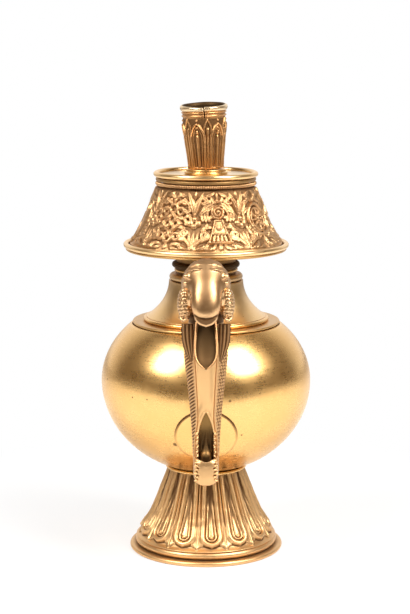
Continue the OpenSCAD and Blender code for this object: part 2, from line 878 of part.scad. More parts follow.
// The lower jaw is a scoop whose front wall rises before the shaft
module makara_jaw() {
    base = spout_low_z - solder_gap;
    front = spout_back_d + spout_low_depth;
    rise = jaw_drop * 0.9;
    color(chased_gilt)
        difference() {
            skin([
                jaw_ring(spout_low_w * 0.7, base - jaw_drop * 0.6, base, spout_back_d),
                jaw_ring(spout_low_w * 0.95, base - jaw_drop * 0.9, base, spout_back_d + spout_low_depth * 0.25),
                jaw_ring(spout_low_w, base - jaw_drop, base, spout_back_d + spout_low_depth * 0.75),
                jaw_ring(spout_low_w * 0.98, base - jaw_drop, base, front + solder_gap),
                jaw_ring(spout_low_w * 0.96, base - jaw_drop * 0.98, base + rise, front + solder_gap * 2),
                jaw_ring(spout_low_w * 0.92, base - jaw_drop * 0.9, base + rise, front + jaw_reach * 0.5),
                jaw_ring(spout_low_w * 0.7, base - jaw_drop * 0.65, base + rise * 0.85, front + jaw_reach * 0.85),
                jaw_ring(spout_low_w * 0.3, base - jaw_drop * 0.2, base + rise * 0.5, front + jaw_reach)]);
            translate([0, -front - solder_gap, base + rise])
                scale([jaw_arch_w, jaw_reach * 0.6, jaw_drop])
                    sphere(r = 1, $fn = 32);
        }
}

// Dragon head

module dragon_head() {
    pour_z = head_z + head_h * 0.35;
    color(gilt)
        difference() {
            union() {
                skin([
                    oval(spout_top_w, shaft_half(spout_top_z), head_d, head_z),
                    oval(cheek_w, head_depth * 0.8, head_d + face_push * 0.4, head_z + head_h * 0.2),
                    oval(cheek_w * 1.07, head_depth * 0.95, head_d + face_push * 0.75, head_z + head_h * 0.38),
                    oval(head_w * 0.93, head_depth, head_d + face_push, head_z + head_h * 0.52),
                    oval(head_w, head_depth, head_d + face_push, head_z + head_h * 0.63),
                    oval(head_w * 0.87, head_depth * 0.9, head_d + face_push * 0.6, head_z + head_h * 0.8),
                    oval(head_w * 0.6, head_depth * 0.65, head_d, head_z + head_h * 0.94),
                    oval(head_w * 0.2, head_depth * 0.25, head_d - face_push * 0.3, head_z + head_h)]);
                skin([for (i = [0:12]) let (a = 6 + i * 14, w = snout_w * sin(a))
                    oval(w, w, snout_d, snout_z - snout_h * cos(a))]);
            }
            translate([0, -head_d, head_z - cut])
                cylinder(r = channel_r, h = pour_z - head_z + cut);
            translate([0, -head_d, pour_z])
                sphere(r = channel_r * 1.2);
            translate([0, -head_d, pour_z])
                rotate([90 + tongue_drop / 2, 0, 0])
                    cylinder(r = channel_r, h = spout_depth + snout_reach);
        }
}

// A spoon-shaped section of the pouring lip at share t of its length
function tongue_ring(t, start) =
    let (w = tongue_w * (t < 0.5 ? 0.85 + 0.3 * t : 1 - 0.92 * pow(2 * t - 1, 2.5)),
         bowl = w * 0.7,
         wall = min(spout_wall, w * 0.45),
         along = tongue_l * t,
         y = -start[0] - along * cos(tongue_drop),
         z = start[1] - along * sin(tongue_drop))
    [for (i = [0:21])
        let (outer = i < 11,
             a = outer ? 180 + i * 18 : 360 - (i - 11) * 18,
             x = (outer ? w : w - wall) * cos(a),
             n = (outer ? bowl : bowl - wall) * sin(a))
        [x, y - n * sin(tongue_drop), z + n * cos(tongue_drop)]];

module pouring_lip() {
    start = [snout_d - snout_w * 0.25, snout_z - snout_h - solder_gap];
    color(pale_gilt)
        wall_skin([for (i = [0:8]) tongue_ring(i / 8, start)]);
}

module cheek_tuft(side) {
    color(chased_gilt)
        on_side(side)
            translate([tuft_x, -tuft_d, tuft_z])
                scale([tuft_w, tuft_w * 1.7, tuft_h])
                    sphere(r = 1, $fn = 24);
}

// Distance in front of the axis at which the shaft's surface lies beside its middle line
function shaft_front(x, z) = shaft_d(z) + shaft_half(z) * sqrt(max(0, 1 - pow(x / shaft_w(z), 2)));

// Section of a fin at share t of its length, laid against the front of the shaft
function fin_ring(t) =
    let (s = 1 - pow(t, 3) * 0.9,
         x = fin_x - fin_w * 0.7 * pow(t, 3),
         z = tuft_z - tuft_h - solder_gap - fin_l * t,
         d = 2 * solder_gap + max([for (k = [0:6])
             shaft_front(x + fin_w * s * cos(k * 30), z) + fin_h * s * sin(k * 30)]))
    [for (k = [0:11]) [x + fin_w * s * cos(k * 30), -d + fin_h * s * sin(k * 30), z]];

// A flat fin that hangs below the tuft before the shaft and ends in a point
module cheek_fin(side) {
    color(chased_gilt)
        on_side(side)
            skin([for (i = [6:-1:0]) fin_ring(i / 6)]);
}

module left_cheek_tuft() {
    cheek_tuft(-1);
}

module right_cheek_tuft() {
    cheek_tuft(1);
}

module left_cheek_fin() {
    cheek_fin(-1);
}

module right_cheek_fin() {
    cheek_fin(1);
}

base_plate();
foot_lip();
lotus_foot();
foot_wire();
body_bowl();
shoulder_flange();
shoulder_step();
bell_neck();
neck_ring();
neck_wire();
neck_upper_ring();
neck_tube();
skirt_plate();
skirt_rim();
emblem_skirt();
beaded_wire();
skirt_cover();
mouth_plug();
drip_dish();
dish_rim();
tube_collar();
lotus_tube();
mouth_lip();
spout_plaque();
spout_root();
spout_shaft();
spout_front_strip();
makara_palate();
makara_jaw();
dragon_head();
pouring_lip();
left_cheek_tuft();
right_cheek_tuft();
left_cheek_fin();
right_cheek_fin();
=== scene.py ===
"""Looks of a gilt copper bumpa vase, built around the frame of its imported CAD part."""

import math

import bmesh
import bpy
import numpy as np
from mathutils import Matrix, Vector


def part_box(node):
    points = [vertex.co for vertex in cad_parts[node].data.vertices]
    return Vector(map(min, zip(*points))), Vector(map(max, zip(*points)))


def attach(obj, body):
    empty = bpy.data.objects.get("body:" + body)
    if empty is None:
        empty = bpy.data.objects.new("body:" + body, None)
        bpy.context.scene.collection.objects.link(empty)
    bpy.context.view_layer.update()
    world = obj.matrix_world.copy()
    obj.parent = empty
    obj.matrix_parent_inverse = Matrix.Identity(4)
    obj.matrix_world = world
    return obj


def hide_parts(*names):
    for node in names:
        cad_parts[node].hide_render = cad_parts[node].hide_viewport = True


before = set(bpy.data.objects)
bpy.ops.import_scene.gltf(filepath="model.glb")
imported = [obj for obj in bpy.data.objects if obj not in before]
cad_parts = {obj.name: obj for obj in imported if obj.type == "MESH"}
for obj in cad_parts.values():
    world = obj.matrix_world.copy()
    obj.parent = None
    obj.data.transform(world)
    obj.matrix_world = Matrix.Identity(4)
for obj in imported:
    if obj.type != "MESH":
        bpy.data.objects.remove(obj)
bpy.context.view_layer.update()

MM = 0.001
TAU = 2 * math.pi

# Sizes of the sheet work that a box does not tell, in millimetres
SOLDER_GAP = 0.06
BASE_STEP_R = 29.8
BASE_STEP_Z = 1.2
FOOT_BORE_R = 33.0
FOOT_LOW_R = 34.6
FOOT_TOP_R = 18.8
FOOT_WALL = 1.6
BOWL_MID_Z = 85.9
BOWL_R = 52.0
BOWL_LOW_H = 46.3
BOWL_UP_H = 40.3
BOWL_WALL = 1.3
BELL_TOP_R = 18.3
BELL_WALL = 2.0
BORE_R = 27.5
SLEEVE_R = 14.66
SKIRT_LOW_R = 38.0
SKIRT_TOP_R = 24.8
SKIRT_WALL = 1.5
NECK_BORE_R = 13.4
NECK_TUBE_R = 14.6
SOCKET_R = 8.6
SOCKET_OUT_R = 9.8
STEM_R = 7.0
PLUG_R = 8.2
TUBE_LOW_R = 8.3
TUBE_TOP_R = 11.0
TUBE_WALL = 1.0
TUBE_H = 27.9
LIP_R = 11.6
LIP_H = 2.8
LEAN = math.radians(2.2)
PLAQUE_R = 15.0
PLAQUE_H = 0.8
PLAQUE_BORE_R = 3.4
ROOT_DROP = math.radians(18)
ROOT_R = 6.4
ROOT_SADDLE = 2.0
SPOUT_BACK_D = 60.0
SPOUT_LEAN = 4.0
SPOUT_LOW_Z = 56.0
SPOUT_WIDE_Z = 109.0
SPOUT_TOP_Z = 125.5
SPOUT_WALL = 1.4
SPOUT_Z = 66.5
SHAFT_LOW_W = 5.9
SHAFT_WIDE_W = 10.0
SHAFT_TOP_W = 8.0
SHAFT_LOW_H = 4.5
SHAFT_TOP_H = 5.75
STRIP_SHARE = 0.52
JAW_SHARE = 0.84
ARCH_Z = 83.5
ARCH_W = 3.3
PALATE_W = 3.3
PALATE_TOP_Z = 87.6
JAW_TOP_Z = 62.6
HEAD_Z = 125.56
FIN_X = 8.45
FIN_D = 74.9
FIN_HALF_W = 2.8
FIN_HALF_H = 1.1
FIN_LONG = 17.5
SPOON_D = 79.38
SPOON_Z = 127.26
SPOON_W = 5.4
SPOON_LONG = 22.0
SPOON_DROP = math.radians(66)
SPOUT_RISE = 1.6


# Numbers and curves

def smoothstep(low, high, x):
    t = np.clip((x - low) / (high - low), 0, 1)
    return t * t * (3 - 2 * t)


def waves(a, b, seed, count=7):
    """An uneven surface between about -1 and 1 that repeats every turn of a."""
    rng = np.random.default_rng(seed)
    total = 0
    for turns in range(1, count + 1):
        phase = rng.uniform(0, TAU, 2)
        size = rng.uniform(0.5, 1) / math.sqrt(turns)
        bend = 3.0 * np.sin(b * turns * 0.35 + phase[1])
        total = total + size * np.sin(turns * a + phase[0] + bend)
    return total / math.sqrt(count)


def angles(count):
    """Even steps round a full turn."""
    return np.arange(count) * TAU / count


def resample(line, count):
    """Points at even steps along an open line."""
    line = np.asarray(line, float)
    steps = np.hypot(*np.diff(line, axis=0).T)
    along = np.concatenate([[0], np.cumsum(steps)])
    spots = np.linspace(0, along[-1], count)
    return np.stack([np.interp(spots, along, line[:, k]) for k in range(line.shape[1])], axis=1)


def outline(line, count):
    """Points at even steps round a closed line."""
    return resample(line + line[:1], count + 1)[:-1]


def flare(low, top, low_bend, top_bend, count):
    """The line of a flared sheet from its lower to its upper edge."""
    low = np.array(low, float)
    top = np.array(top, float)
    size = top - low
    points = [low, low + size * low_bend, top - size * top_bend, top]
    t = np.linspace(0, 1, 200)[:, None]
    line = (1 - t) ** 3 * points[0] + 3 * (1 - t) ** 2 * t * points[1]
    line = line + 3 * (1 - t) * t ** 2 * points[2] + t ** 3 * points[3]
    return resample(line, count)


def span(node):
    """Lowest and highest level of a CAD node."""
    low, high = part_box(node)
    return low[2] / MM, high[2] / MM


def reach(node):
    """Outer radius of a round CAD node."""
    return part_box(node)[1][0] / MM


def bullnose(node, bore, count=14):
    """The outline of a flat ring with a round outer edge, as large as a CAD node."""
    low, high = span(node)
    half = (high - low) / 2
    middle = reach(node) - half
    turn = np.linspace(-math.pi / 2, math.pi / 2, count)
    edge = np.stack([middle + half * np.cos(turn), low + half + half * np.sin(turn)], axis=1)
    inside = np.linspace(bore, middle, 6)[:-1]
    below = np.stack([inside, np.full(5, low)], axis=1)
    above = np.stack([inside[::-1], np.full(5, high)], axis=1)
    return np.concatenate([below, edge, above])


def round_wire(node, count=20):
    """The outline of a round wire, as large as a CAD node."""
    low, high = span(node)
    wire = (high - low) / 2
    turn = angles(count)
    return np.stack([reach(node) - wire + wire * np.cos(turn), low + wire + wire * np.sin(turn)], axis=1)


# Meshes

def grid_faces(rows, columns, wrap_rows=False):
    """Quads over rows of points that run round a piece."""
    r, c = np.meshgrid(np.arange(rows if wrap_rows else rows - 1), np.arange(columns), indexing="ij")
    r, c = r.ravel(), c.ravel()
    r1 = (r + 1) % rows
    c1 = (c + 1) % columns
    return np.stack([r * columns + c, r * columns + c1, r1 * columns + c1, r1 * columns + c], axis=1)


def turned(profile, columns):
    """Points of a line of radius and height swept round the axis, front first and then to the right."""
    angle = angles(columns)
    if profile.ndim == 2:
        profile = profile[:, None, :]
    r, z = profile[..., 0], profile[..., 1]
    points = np.stack([r * np.sin(angle), -r * np.cos(angle), z + 0 * angle], axis=-1)
    return points.reshape(-1, 3)


def ring(profile, columns=192):
    """A ring from a closed line of radius and height, which may change from column to column."""
    return turned(profile, columns), [grid_faces(len(profile), columns, True)]


def wavy_ring(profile, columns, seed, rise, spread):
    """A ring that a hand has bent a little up and down and in and out."""
    points, faces = ring(profile, columns)
    points = points.reshape(-1, columns, 3)
    angle = angles(columns)
    points[..., 2] += rise * waves(angle, 0, seed)
    grow = 1 + spread * waves(angle, 0, seed + 1) / np.max(profile[:, 0])
    points[..., :2] *= grow[:, None]
    return points.reshape(-1, 3), faces


def backed(face, back):
    """Lines of a sheet: one for each column of its face, each followed by the same back."""
    return np.concatenate([face, np.broadcast_to(back[:, None, :], (len(back), face.shape[1], 2))])


def sheet(outer, wall, columns, push):
    """A turned sheet whose outer face is pushed out by a relief of one row per point of its line."""
    slope = np.gradient(outer, axis=0)
    normal = np.stack([slope[:, 1], -slope[:, 0]], axis=1)
    normal /= np.linalg.norm(normal, axis=1)[:, None]
    face = outer[:, None, :] + normal[:, None, :] * push[..., None]
    return ring(backed(face, outer[::-3] - np.array([wall, 0])), columns)


def sheet_soil_and_shade(shape, face, back):
    """Soil and painted shade of a sheet: an amount for every point of its face, and one for its back, the
    inner face, which is painted dark as shade.
    """
    return np.concatenate([face.ravel(), np.full(len(shape[0]) - face.size, back)])


def capped(points, columns, ends):
    """Rows of points round a piece, closed at the first and the last row by a fan to one more point."""
    base = len(points) - columns
    c = np.arange(columns)
    c1 = (c + 1) % columns
    tip = np.full(columns, len(points))
    start = np.stack([tip, c1, c], axis=1)
    stop = np.stack([tip + 1, base + c, base + c1], axis=1)
    return np.concatenate([points, ends]), [grid_faces(len(points) // columns, columns), start, stop]


def relaxed(points, faces, rounds):
    """Points moved again and again halfway to the mean of those that share an edge with them."""
    pairs = np.concatenate([np.stack([f, np.roll(f, -1, axis=1)], axis=-1).reshape(-1, 2) for f in faces])
    one, other = np.concatenate([pairs, pairs[:, ::-1]]).T
    count = np.maximum(np.bincount(one, minlength=len(points)), 1)[:, None]
    for _ in range(rounds):
        sums = [np.bincount(one, points[other, k], len(points)) for k in range(3)]
        points = points + 0.5 * (np.stack(sums, axis=1) / count - points)
    return points


def placed(name, data):
    """A new object in the scene."""
    obj = bpy.data.objects.new(name, data)
    bpy.context.scene.collection.objects.link(obj)
    return obj


def piece(name, shape, material, rounds=10, soil_and_shade=0.0, body="vessel"):
    """A visible piece that stands for its CAD node and knows where its surface is high, low, soiled or
    painted with shade.
    """
    points, faces = shape
    mesh = bpy.data.meshes.new(name)
    mesh.vertices.add(len(points))
    mesh.vertices.foreach_set("co", (points * MM).ravel())
    corners = np.concatenate([f.ravel() for f in faces]).astype(np.int32)
    sizes = np.concatenate([np.full(len(f), f.shape[1]) for f in faces])
    starts = np.concatenate([[0], np.cumsum(sizes)[:-1]]).astype(np.int32)
    mesh.loops.add(len(corners))
    mesh.loops.foreach_set("vertex_index", corners)
    mesh.polygons.add(len(sizes))
    mesh.polygons.foreach_set("loop_start", starts)
    mesh.polygons.foreach_set("use_smooth", np.ones(len(sizes), bool))
    mesh.update(calc_edges=True)
    shell = bmesh.new()
    shell.from_mesh(mesh)
    bmesh.ops.recalc_face_normals(shell, faces=shell.faces)
    shell.to_mesh(mesh)
    shell.free()
    normal = np.empty(len(points) * 3)
    mesh.vertices.foreach_get("normal", normal)
    stand = points - relaxed(points, faces, rounds)
    height = np.sum(stand * normal.reshape(-1, 3), axis=1)
    # The second attribute darkens the surface: at each point it holds real soil and painted shade alike.
    for key, values in (("cavity", height), ("soil_and_shade", np.full(len(points), soil_and_shade))):
        mesh.attributes.new(key, "FLOAT", "POINT").data.foreach_set("value", values)
    mesh.materials.append(material)
    obj = placed(name, mesh)
    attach(obj, body)
    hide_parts(name)


# Chased lines and shapes on an unrolled sheet

def to_line(u, v, points):
    """Distance to a bent line."""
    best = np.full(np.broadcast(u, v).shape, 1e9)
    for a, b in zip(points, points[1:]):
        du, dv = b[0] - a[0], b[1] - a[1]
        t = np.clip(((u - a[0]) * du + (v - a[1]) * dv) / max(du * du + dv * dv, 1e-9), 0, 1)
        best = np.minimum(best, np.hypot(u - a[0] - t * du, v - a[1] - t * dv))
    return best


def bulge(distance, width, height):
    """A rounded ridge of a half width around a line."""
    return height * np.sqrt(np.clip(1 - (distance / width) ** 2, 0, 1))


def spiral(centre, r_start, r_end, from_turn, to_turn, count=22):
    t = np.linspace(0, 1, count)
    r = r_start + (r_end - r_start) * t
    a = TAU * (from_turn + (to_turn - from_turn) * t)
    return list(zip(centre[0] + r * np.cos(a), centre[1] + r * np.sin(a)))


def arc(centre, rx, ry, from_turn, to_turn, count=16):
    a = TAU * np.linspace(from_turn, to_turn, count)
    return list(zip(centre[0] + rx * np.cos(a), centre[1] + ry * np.sin(a)))


class Relief:
    """A chased field over u across and v upward, to which raised shapes are added one by one."""

    def __init__(self, u, v, mirror=True):
        self.u = np.abs(u) if mirror else u
        self.v = v
        self.height = np.zeros(np.broadcast(u, v).shape)

    def raise_to(self, field):
        self.height = np.maximum(self.height, field)

    def dot(self, u, v, r, height):
        self.raise_to(bulge(np.hypot(self.u - u, self.v - v), r, height))

    def stroke(self, points, width, height):
        self.raise_to(bulge(to_line(self.u, self.v, points), width, height))

    def groove(self, points, width, depth):
        self.height = self.height - bulge(to_line(self.u, self.v, points), width, depth) * (self.height > 0)

    def ribbon(self, points, width, height):
        """A band with a groove along its middle."""
        line = to_line(self.u, self.v, points)
        self.raise_to(bulge(line, width, height) - bulge(line, width * 0.3, height * 0.35))

    def loop(self, u, v, r, width, height):
        """A ring of cord."""
        self.raise_to(bulge(np.abs(np.hypot(self.u - u, self.v - v) - r), width, height))

    def leaf(self, start, middle, tip, width, height, vein=0.3):
        """A pointed blade along a bent line, with a vein down its middle."""
        t = np.linspace(0, 1, 17)[:, None]
        line = (1 - t) ** 2 * np.array(start) + 2 * (1 - t) * t * np.array(middle) + t ** 2 * np.array(tip)
        swell = width * (0.2 + 0.8 * np.sin(math.pi * (0.12 + 0.86 * t[:, 0])))
        field = np.zeros(self.height.shape)
        for (x, y), w in zip(line, swell):
            near = np.hypot(self.u - x, self.v - y)
            field = np.maximum(field, bulge(near, w, height * (0.5 + 0.5 * w / width)))
        vein_line = bulge(to_line(self.u, self.v, list(line)), 0.28, vein * height)
        self.raise_to(field - vein_line * (field > 0))


# Emblems of the skirt, drawn about the middle of a panel, with v upward from its lower edge

def endless_knot(u, v):
    art = Relief(u, v)
    y = v - 13.2
    p = (u + y) / math.sqrt(2)
    q = (u - y) / math.sqrt(2)
    gap = 3.0
    for i in (-1, 0, 1):
        for first, second, sign in ((p, q, 1), (q, p, -1)):
            over = 0.2 * np.cos(math.pi * (second / gap + i)) * sign
            line = np.abs(first - i * gap)
            ribbon = bulge(line, 0.95, 1.3 + over) * (np.abs(second) < 1.35 * gap)
            art.raise_to(ribbon - 0.35 * bulge(line, 0.25, 1.0) * (ribbon > 0))
    for cord in ((0, 19.6, 1.9, 0.8, 1.35), (3.9, 18.6, 1.5, 0.75, 1.25), (0, 6.0, 1.5, 0.8, 1.3),
                 (3.7, 7.2, 1.5, 0.75, 1.25), (7.0, 9.0, 1.35, 0.7, 1.1)):
        art.loop(*cord)
    art.ribbon(spiral((7.6, 15.0), 2.0, 0.9, -0.3, 0.75), 0.8, 1.2)
    art.ribbon([(2.0, 22.0), (5.2, 23.6), (8.0, 21.6), (8.4, 18.8), (7.0, 18.0)], 0.9, 1.25)
    art.dot(0, 23.2, 1.0, 1.3)
    art.leaf((0.4, 23.8), (1.6, 25.6), (4.4, 26.4), 1.0, 1.0)
    art.leaf((2.4, 3.6), (5.6, 4.4), (8.4, 2.2), 1.0, 0.9)
    art.leaf((0, 3.8), (0, 2.4), (0, 0.8), 0.9, 0.9)
    return art.height


def victory_banner(u, v):
    art = Relief(u, v)
    art.leaf((0, 24.0), (0, 25.4), (0, 27.0), 0.9, 1.2, 0)
    art.dot(0, 23.2, 1.05, 1.4)
    art.leaf((0.8, 22.0), (2.6, 23.0), (3.0, 25.4), 0.9, 1.1)
    for k, r in enumerate((4.5, 5.75, 7.0)):
        bow = arc((0, 16.9), r * 1.08, r * 0.92, -0.1 + 0.02 * k, 0.2 - 0.015 * k, 18)
        art.ribbon(bow, 0.68, 1.25 - 0.08 * k)
    disc_r = np.hypot(u / 1.12, v - 18.1)
    art.raise_to(1.5 * smoothstep(3.5, 2.4, disc_r))
    whirl = to_line(u, v, spiral((0, 18.1), 2.9, 0.5, 0.12, 1.9, 40))
    art.height = art.height - bulge(whirl, 0.4, 0.7) * (disc_r < 3.4)
    half = 2.2 + (14.4 - v) * 0.27
    inside = (v > 4.0) * (v < 15.0)
    slab = smoothstep(-0.1, 0.7, half - art.u) * smoothstep(3.4, 4.3, v) * smoothstep(15.2, 14.5, v)
    art.raise_to(1.15 * slab)
    art.raise_to(bulge(half - 0.6 - art.u, 0.6, 1.7) * inside)
    art.raise_to(bulge(v - 14.5, 0.55, 1.6) * (art.u < half))
    art.raise_to(bulge(v - 8.4, 0.5, 1.6) * (art.u < half))
    art.raise_to(bulge(v - 4.5, 0.6, 1.6) * (art.u < half + 0.3))
    art.stroke(arc((0, 12.4), 1.05, 2.0, 0.5, 1.0), 0.42, 1.65)
    for x in (0.0, 1.35, 2.7):
        art.groove([(x, 7.8), (x * 1.25, 5.2)], 0.35, 0.7)
    art.leaf((0, 4.0), (0, 2.2), (0, 0.4), 1.0, 1.1)
    art.leaf((1.8, 3.8), (2.6, 2.2), (2.8, 0.6), 0.8, 1.0)
    art.leaf((4.4, 4.0), (5.8, 2.6), (6.2, 0.6), 0.9, 1.0)
    art.ribbon([(5.0, 13.0), (6.2, 10.6), (5.8, 8.0), (7.2, 5.2)], 0.7, 1.1)
    art.leaf((4.0, 22.2), (6.0, 24.6), (8.4, 25.2), 1.1, 1.1)
    return art.height


def wheel(u, v):
    art = Relief(u, v, False)
    y = v - 14.0
    r = np.hypot(u * 1.12, y)
    a = np.arctan2(y, u)
    art.raise_to(bulge(np.abs(r - 6.9), 0.8, 1.45))
    art.raise_to(bulge(np.abs(r - 5.1), 0.55, 1.2))
    art.raise_to(bulge(np.abs(np.sin(4 * a)) * r / 4, 0.55, 1.1) * (r < 5.2))
    petals = 2.9 + 0.5 * np.cos(8 * a)
    art.raise_to(1.5 * smoothstep(0, 1.2, petals - r))
    art.height = art.height - 0.8 * bulge(np.abs(r - 1.5), 0.4, 1.0)
    plain = Relief(u, v)
    plain.leaf((1.0, 22.4), (3.6, 25.0), (7.4, 25.4), 1.1, 1.1)
    plain.ribbon([(6.8, 21.0), (8.8, 18.0), (9.0, 13.0), (8.0, 9.0)], 0.8, 1.1)
    plain.ribbon([(3.4, 6.0), (6.0, 5.4), (8.6, 3.4)], 0.8, 1.1)
    plain.leaf((0, 6.2), (0, 3.6), (0, 0.8), 1.1, 1.1)
    plain.dot(0, 22.8, 1.1, 1.3)
    art.raise_to(plain.height)
    return art.height


def parasol(u, v):
    art = Relief(u, v)
    dome = smoothstep(0, 0.8, 7.2 * np.sqrt(np.clip((22.5 - v) / 7.5, 0, 1)) - art.u) * (v > 14.5)
    art.raise_to(1.2 * dome + 0.3 * np.abs(np.cos(u * 1.3)) * dome)
    art.stroke([(0, 14.4), (7.6, 14.4)], 0.8, 1.5)
    for x in (0, 3, 6):
        art.leaf((x, 14), (x, 12), (x, 10), 1.1, 1.2)
    art.stroke([(0, 14), (0, 2)], 0.7, 1.3)
    art.leaf((0.5, 9), (4, 8), (6.4, 2.5), 1.1, 1.1)
    art.dot(0, 23.8, 1.3, 1.4)
    return art.height


def golden_fish(u, v):
    art = Relief(u, v, False)
    for side in (-1, 1):
        fish = Relief(side * u, v, False)
        fish.leaf((-4.5, 22), (6.5, 15), (2.5, 5.5), 2.7, 1.5, 0)
        fish.height = fish.height - 0.18 * (fish.height > 0) * np.cos(v * 5) * np.cos(u * 5)
        fish.leaf((2.5, 6), (3.5, 3.5), (6.8, 2.5), 1.2, 1.1)
        fish.leaf((2.5, 6), (1.5, 3.5), (0.6, 1.4), 1.1, 1.1)
        fish.dot(-2.4, 20.4, 0.7, 1.9)
        art.raise_to(fish.height)
    return art.height


def treasure_vase(u, v):
    art = Relief(u, v)
    art.raise_to(bulge(np.hypot(u / 1.1, v - 10.5), 5.3, 1.6))
    art.groove(arc((0, 13.0), 6.0, 3.4, 0.5, 1.0), 0.45, 0.5)
    neck = smoothstep(0, 0.6, 2.0 + 0.12 * (v - 18) ** 2 - art.u) * (np.abs(v - 18) < 3)
    art.raise_to(1.3 * neck)
    art.stroke([(0, 20.6), (3.8, 20.6)], 0.8, 1.5)
    art.stroke([(0, 4.4), (3.4, 4.4)], 0.9, 1.4)
    art.leaf((0.5, 21), (2, 23), (3.6, 25.6), 1.1, 1.2)
    art.leaf((0, 21), (0, 24), (0, 26.8), 1.1, 1.3)
    art.ribbon([(3.6, 18), (7, 16), (7.6, 9), (8.8, 4)], 0.8, 1.1)
    return art.height


def lotus_flower(u, v):
    art = Relief(u, v)
    for x, top, w in ((8.6, 13.5, 1.7), (5.9, 18.6, 2.1), (2.8, 21.8, 2.1)):
        art.leaf((0.4, 6.5), (x * 0.9, 8.5), (x, top), w, 1.2)
    art.leaf((0, 6.0), (0, 14), (0, 23.2), 2.3, 1.6, 0.15)
    art.stroke([(0, 6), (0, 1)], 0.8, 1.2)
    art.leaf((0.3, 2), (4.5, 1.5), (7.4, 5.5), 1.3, 1.1)
    return art.height


def conch(u, v):
    art = Relief(u, v, False)
    art.leaf((-1.5, 23), (4.5, 15), (-0.5, 4), 4.6, 1.7, 0)
    art.groove(spiral((0.6, 18.2), 3.6, 0.4, 0.0, 2.1, 46), 0.45, 0.7)
    art.stroke([(-3.2, 15.5), (-3.6, 10), (-0.6, 3.4)], 0.9, 1.4)
    plain = Relief(u, v)
    plain.ribbon([(2.5, 3.0), (6.5, 5.0), (8.0, 11), (7.0, 16)], 0.8, 1.1)
    art.raise_to(plain.height)
    return art.height


def flower_stem(u, v):
    """The plant that grows between two emblems, with curled leaves and a three-lobed bud."""
    art = Relief(u, v)
    art.leaf((0, 0.4), (0, 4), (0, 10.8), 0.95, 1.1)
    art.leaf((0.5, 0.4), (1.5, 5.0), (1.9, 10.4), 0.85, 0.95)
    art.leaf((0.8, 0.6), (4.0, 0.8), (6.0, 4.4), 1.35, 1.15)
    art.leaf((4.4, 0.5), (7.2, 0.7), (9.0, 3.2), 1.15, 0.95)
    art.ribbon([(1.0, 3.4), (2.4, 5.2)] + spiral((4.5, 7.9), 2.2, 0.6, -0.35, 0.95, 26), 0.8, 1.2)
    art.leaf((3.4, 10.2), (5.4, 12.4), (8.2, 11.4), 1.1, 1.0)
    art.leaf((7.4, 5.4), (9.2, 7.4), (9.8, 10.6), 1.0, 0.9)
    for lobe in ((1.75, 13.4, 1.55, 1.35), (0, 12.2, 1.5, 1.25), (0, 15.2, 1.35, 1.5), (0, 17.2, 0.8, 1.35)):
        art.dot(*lobe)
    art.leaf((0.4, 17.6), (1.0, 21.4), (4.2, 27.2), 1.35, 1.25)
    art.leaf((0.2, 18.4), (0.4, 21.0), (1.3, 24.4), 0.9, 1.05)
    art.leaf((2.4, 17.0), (4.6, 19.6), (8.0, 19.4), 1.25, 1.1)
    art.leaf((3.4, 22.0), (6.2, 22.0), (8.8, 24.0), 1.2, 1.05)
    art.leaf((5.6, 25.2), (7.8, 25.4), (10.0, 27.0), 1.0, 0.95)
    art.leaf((4.6, 15.4), (7.4, 15.4), (9.4, 17.6), 1.0, 0.95)
    art.leaf((0, 24.2), (0, 25.6), (0, 27.6), 1.0, 1.15, 0)
    return art.height


EMBLEMS = [endless_knot, victory_banner, wheel, parasol, golden_fish, treasure_vase, lotus_flower, conch]
FIRST_EMBLEM = math.radians(-33.5)
SKIRT_COLUMNS = 1152
SKIRT_ROWS = 136
PANEL_H = 28
PANEL_R = 27.5


def softened(field):
    """A field round the axis with its hard edges eased."""
    field = (np.roll(field, 1, 1) + 2 * field + np.roll(field, -1, 1)) / 4
    padded = np.concatenate([field[:1], field, field[-1:]])
    return (padded[:-2] + 2 * field + padded[2:]) / 4


def skirt_relief(line):
    """The chased field of the skirt: an emblem in each of eight panels and a plant between each two."""
    angle = angles(SKIRT_COLUMNS)
    along = np.linspace(0, PANEL_H, len(line))[:, None]
    relief = np.zeros((len(line), SKIRT_COLUMNS))
    pitch = TAU / len(EMBLEMS)
    for k, draw in enumerate(EMBLEMS):
        for turn, shape in ((0, draw), (0.5, flower_stem)):
            off = (angle - FIRST_EMBLEM - (k + turn) * pitch + math.pi) % TAU - math.pi
            columns = np.nonzero(np.abs(off) <= pitch / 2)[0]
            u = np.broadcast_to(off[columns] * PANEL_R, (len(line), len(columns)))
            v = np.broadcast_to(along, u.shape)
            relief[:, columns] = np.maximum(relief[:, columns], shape(u, v))
    relief = softened(relief)
    relief = relief * (0.85 + 0.15 * smoothstep(PANEL_H, PANEL_H - 6, along)) * smoothstep(0.2, 1.6, along)
    ground = 0.06 * np.sin(angle * 250) * np.sin(along * 6.0)
    wear = 0.12 * waves(angle, along * 0.6, 31, 9)
    # The top band of the skirt dips in and is painted dark as shade under the beaded wire; the rest of this
    # darkening is dirt in the low ground.
    shade = smoothstep(PANEL_H - 1.1, PANEL_H - 0.4, along)
    soil_and_shade = 0.72 * smoothstep(0.7, 0.1, relief) * smoothstep(0.8, 3.4, along)
    soil_and_shade = np.maximum(soil_and_shade, shade + 0 * relief)
    return relief * 1.05 + ground + wear - 0.5 * shade - 0.7, soil_and_shade


# Petals of the foot and of the mouth tube

FOOT_PETALS = 14
FOOT_TURN = math.radians(5)


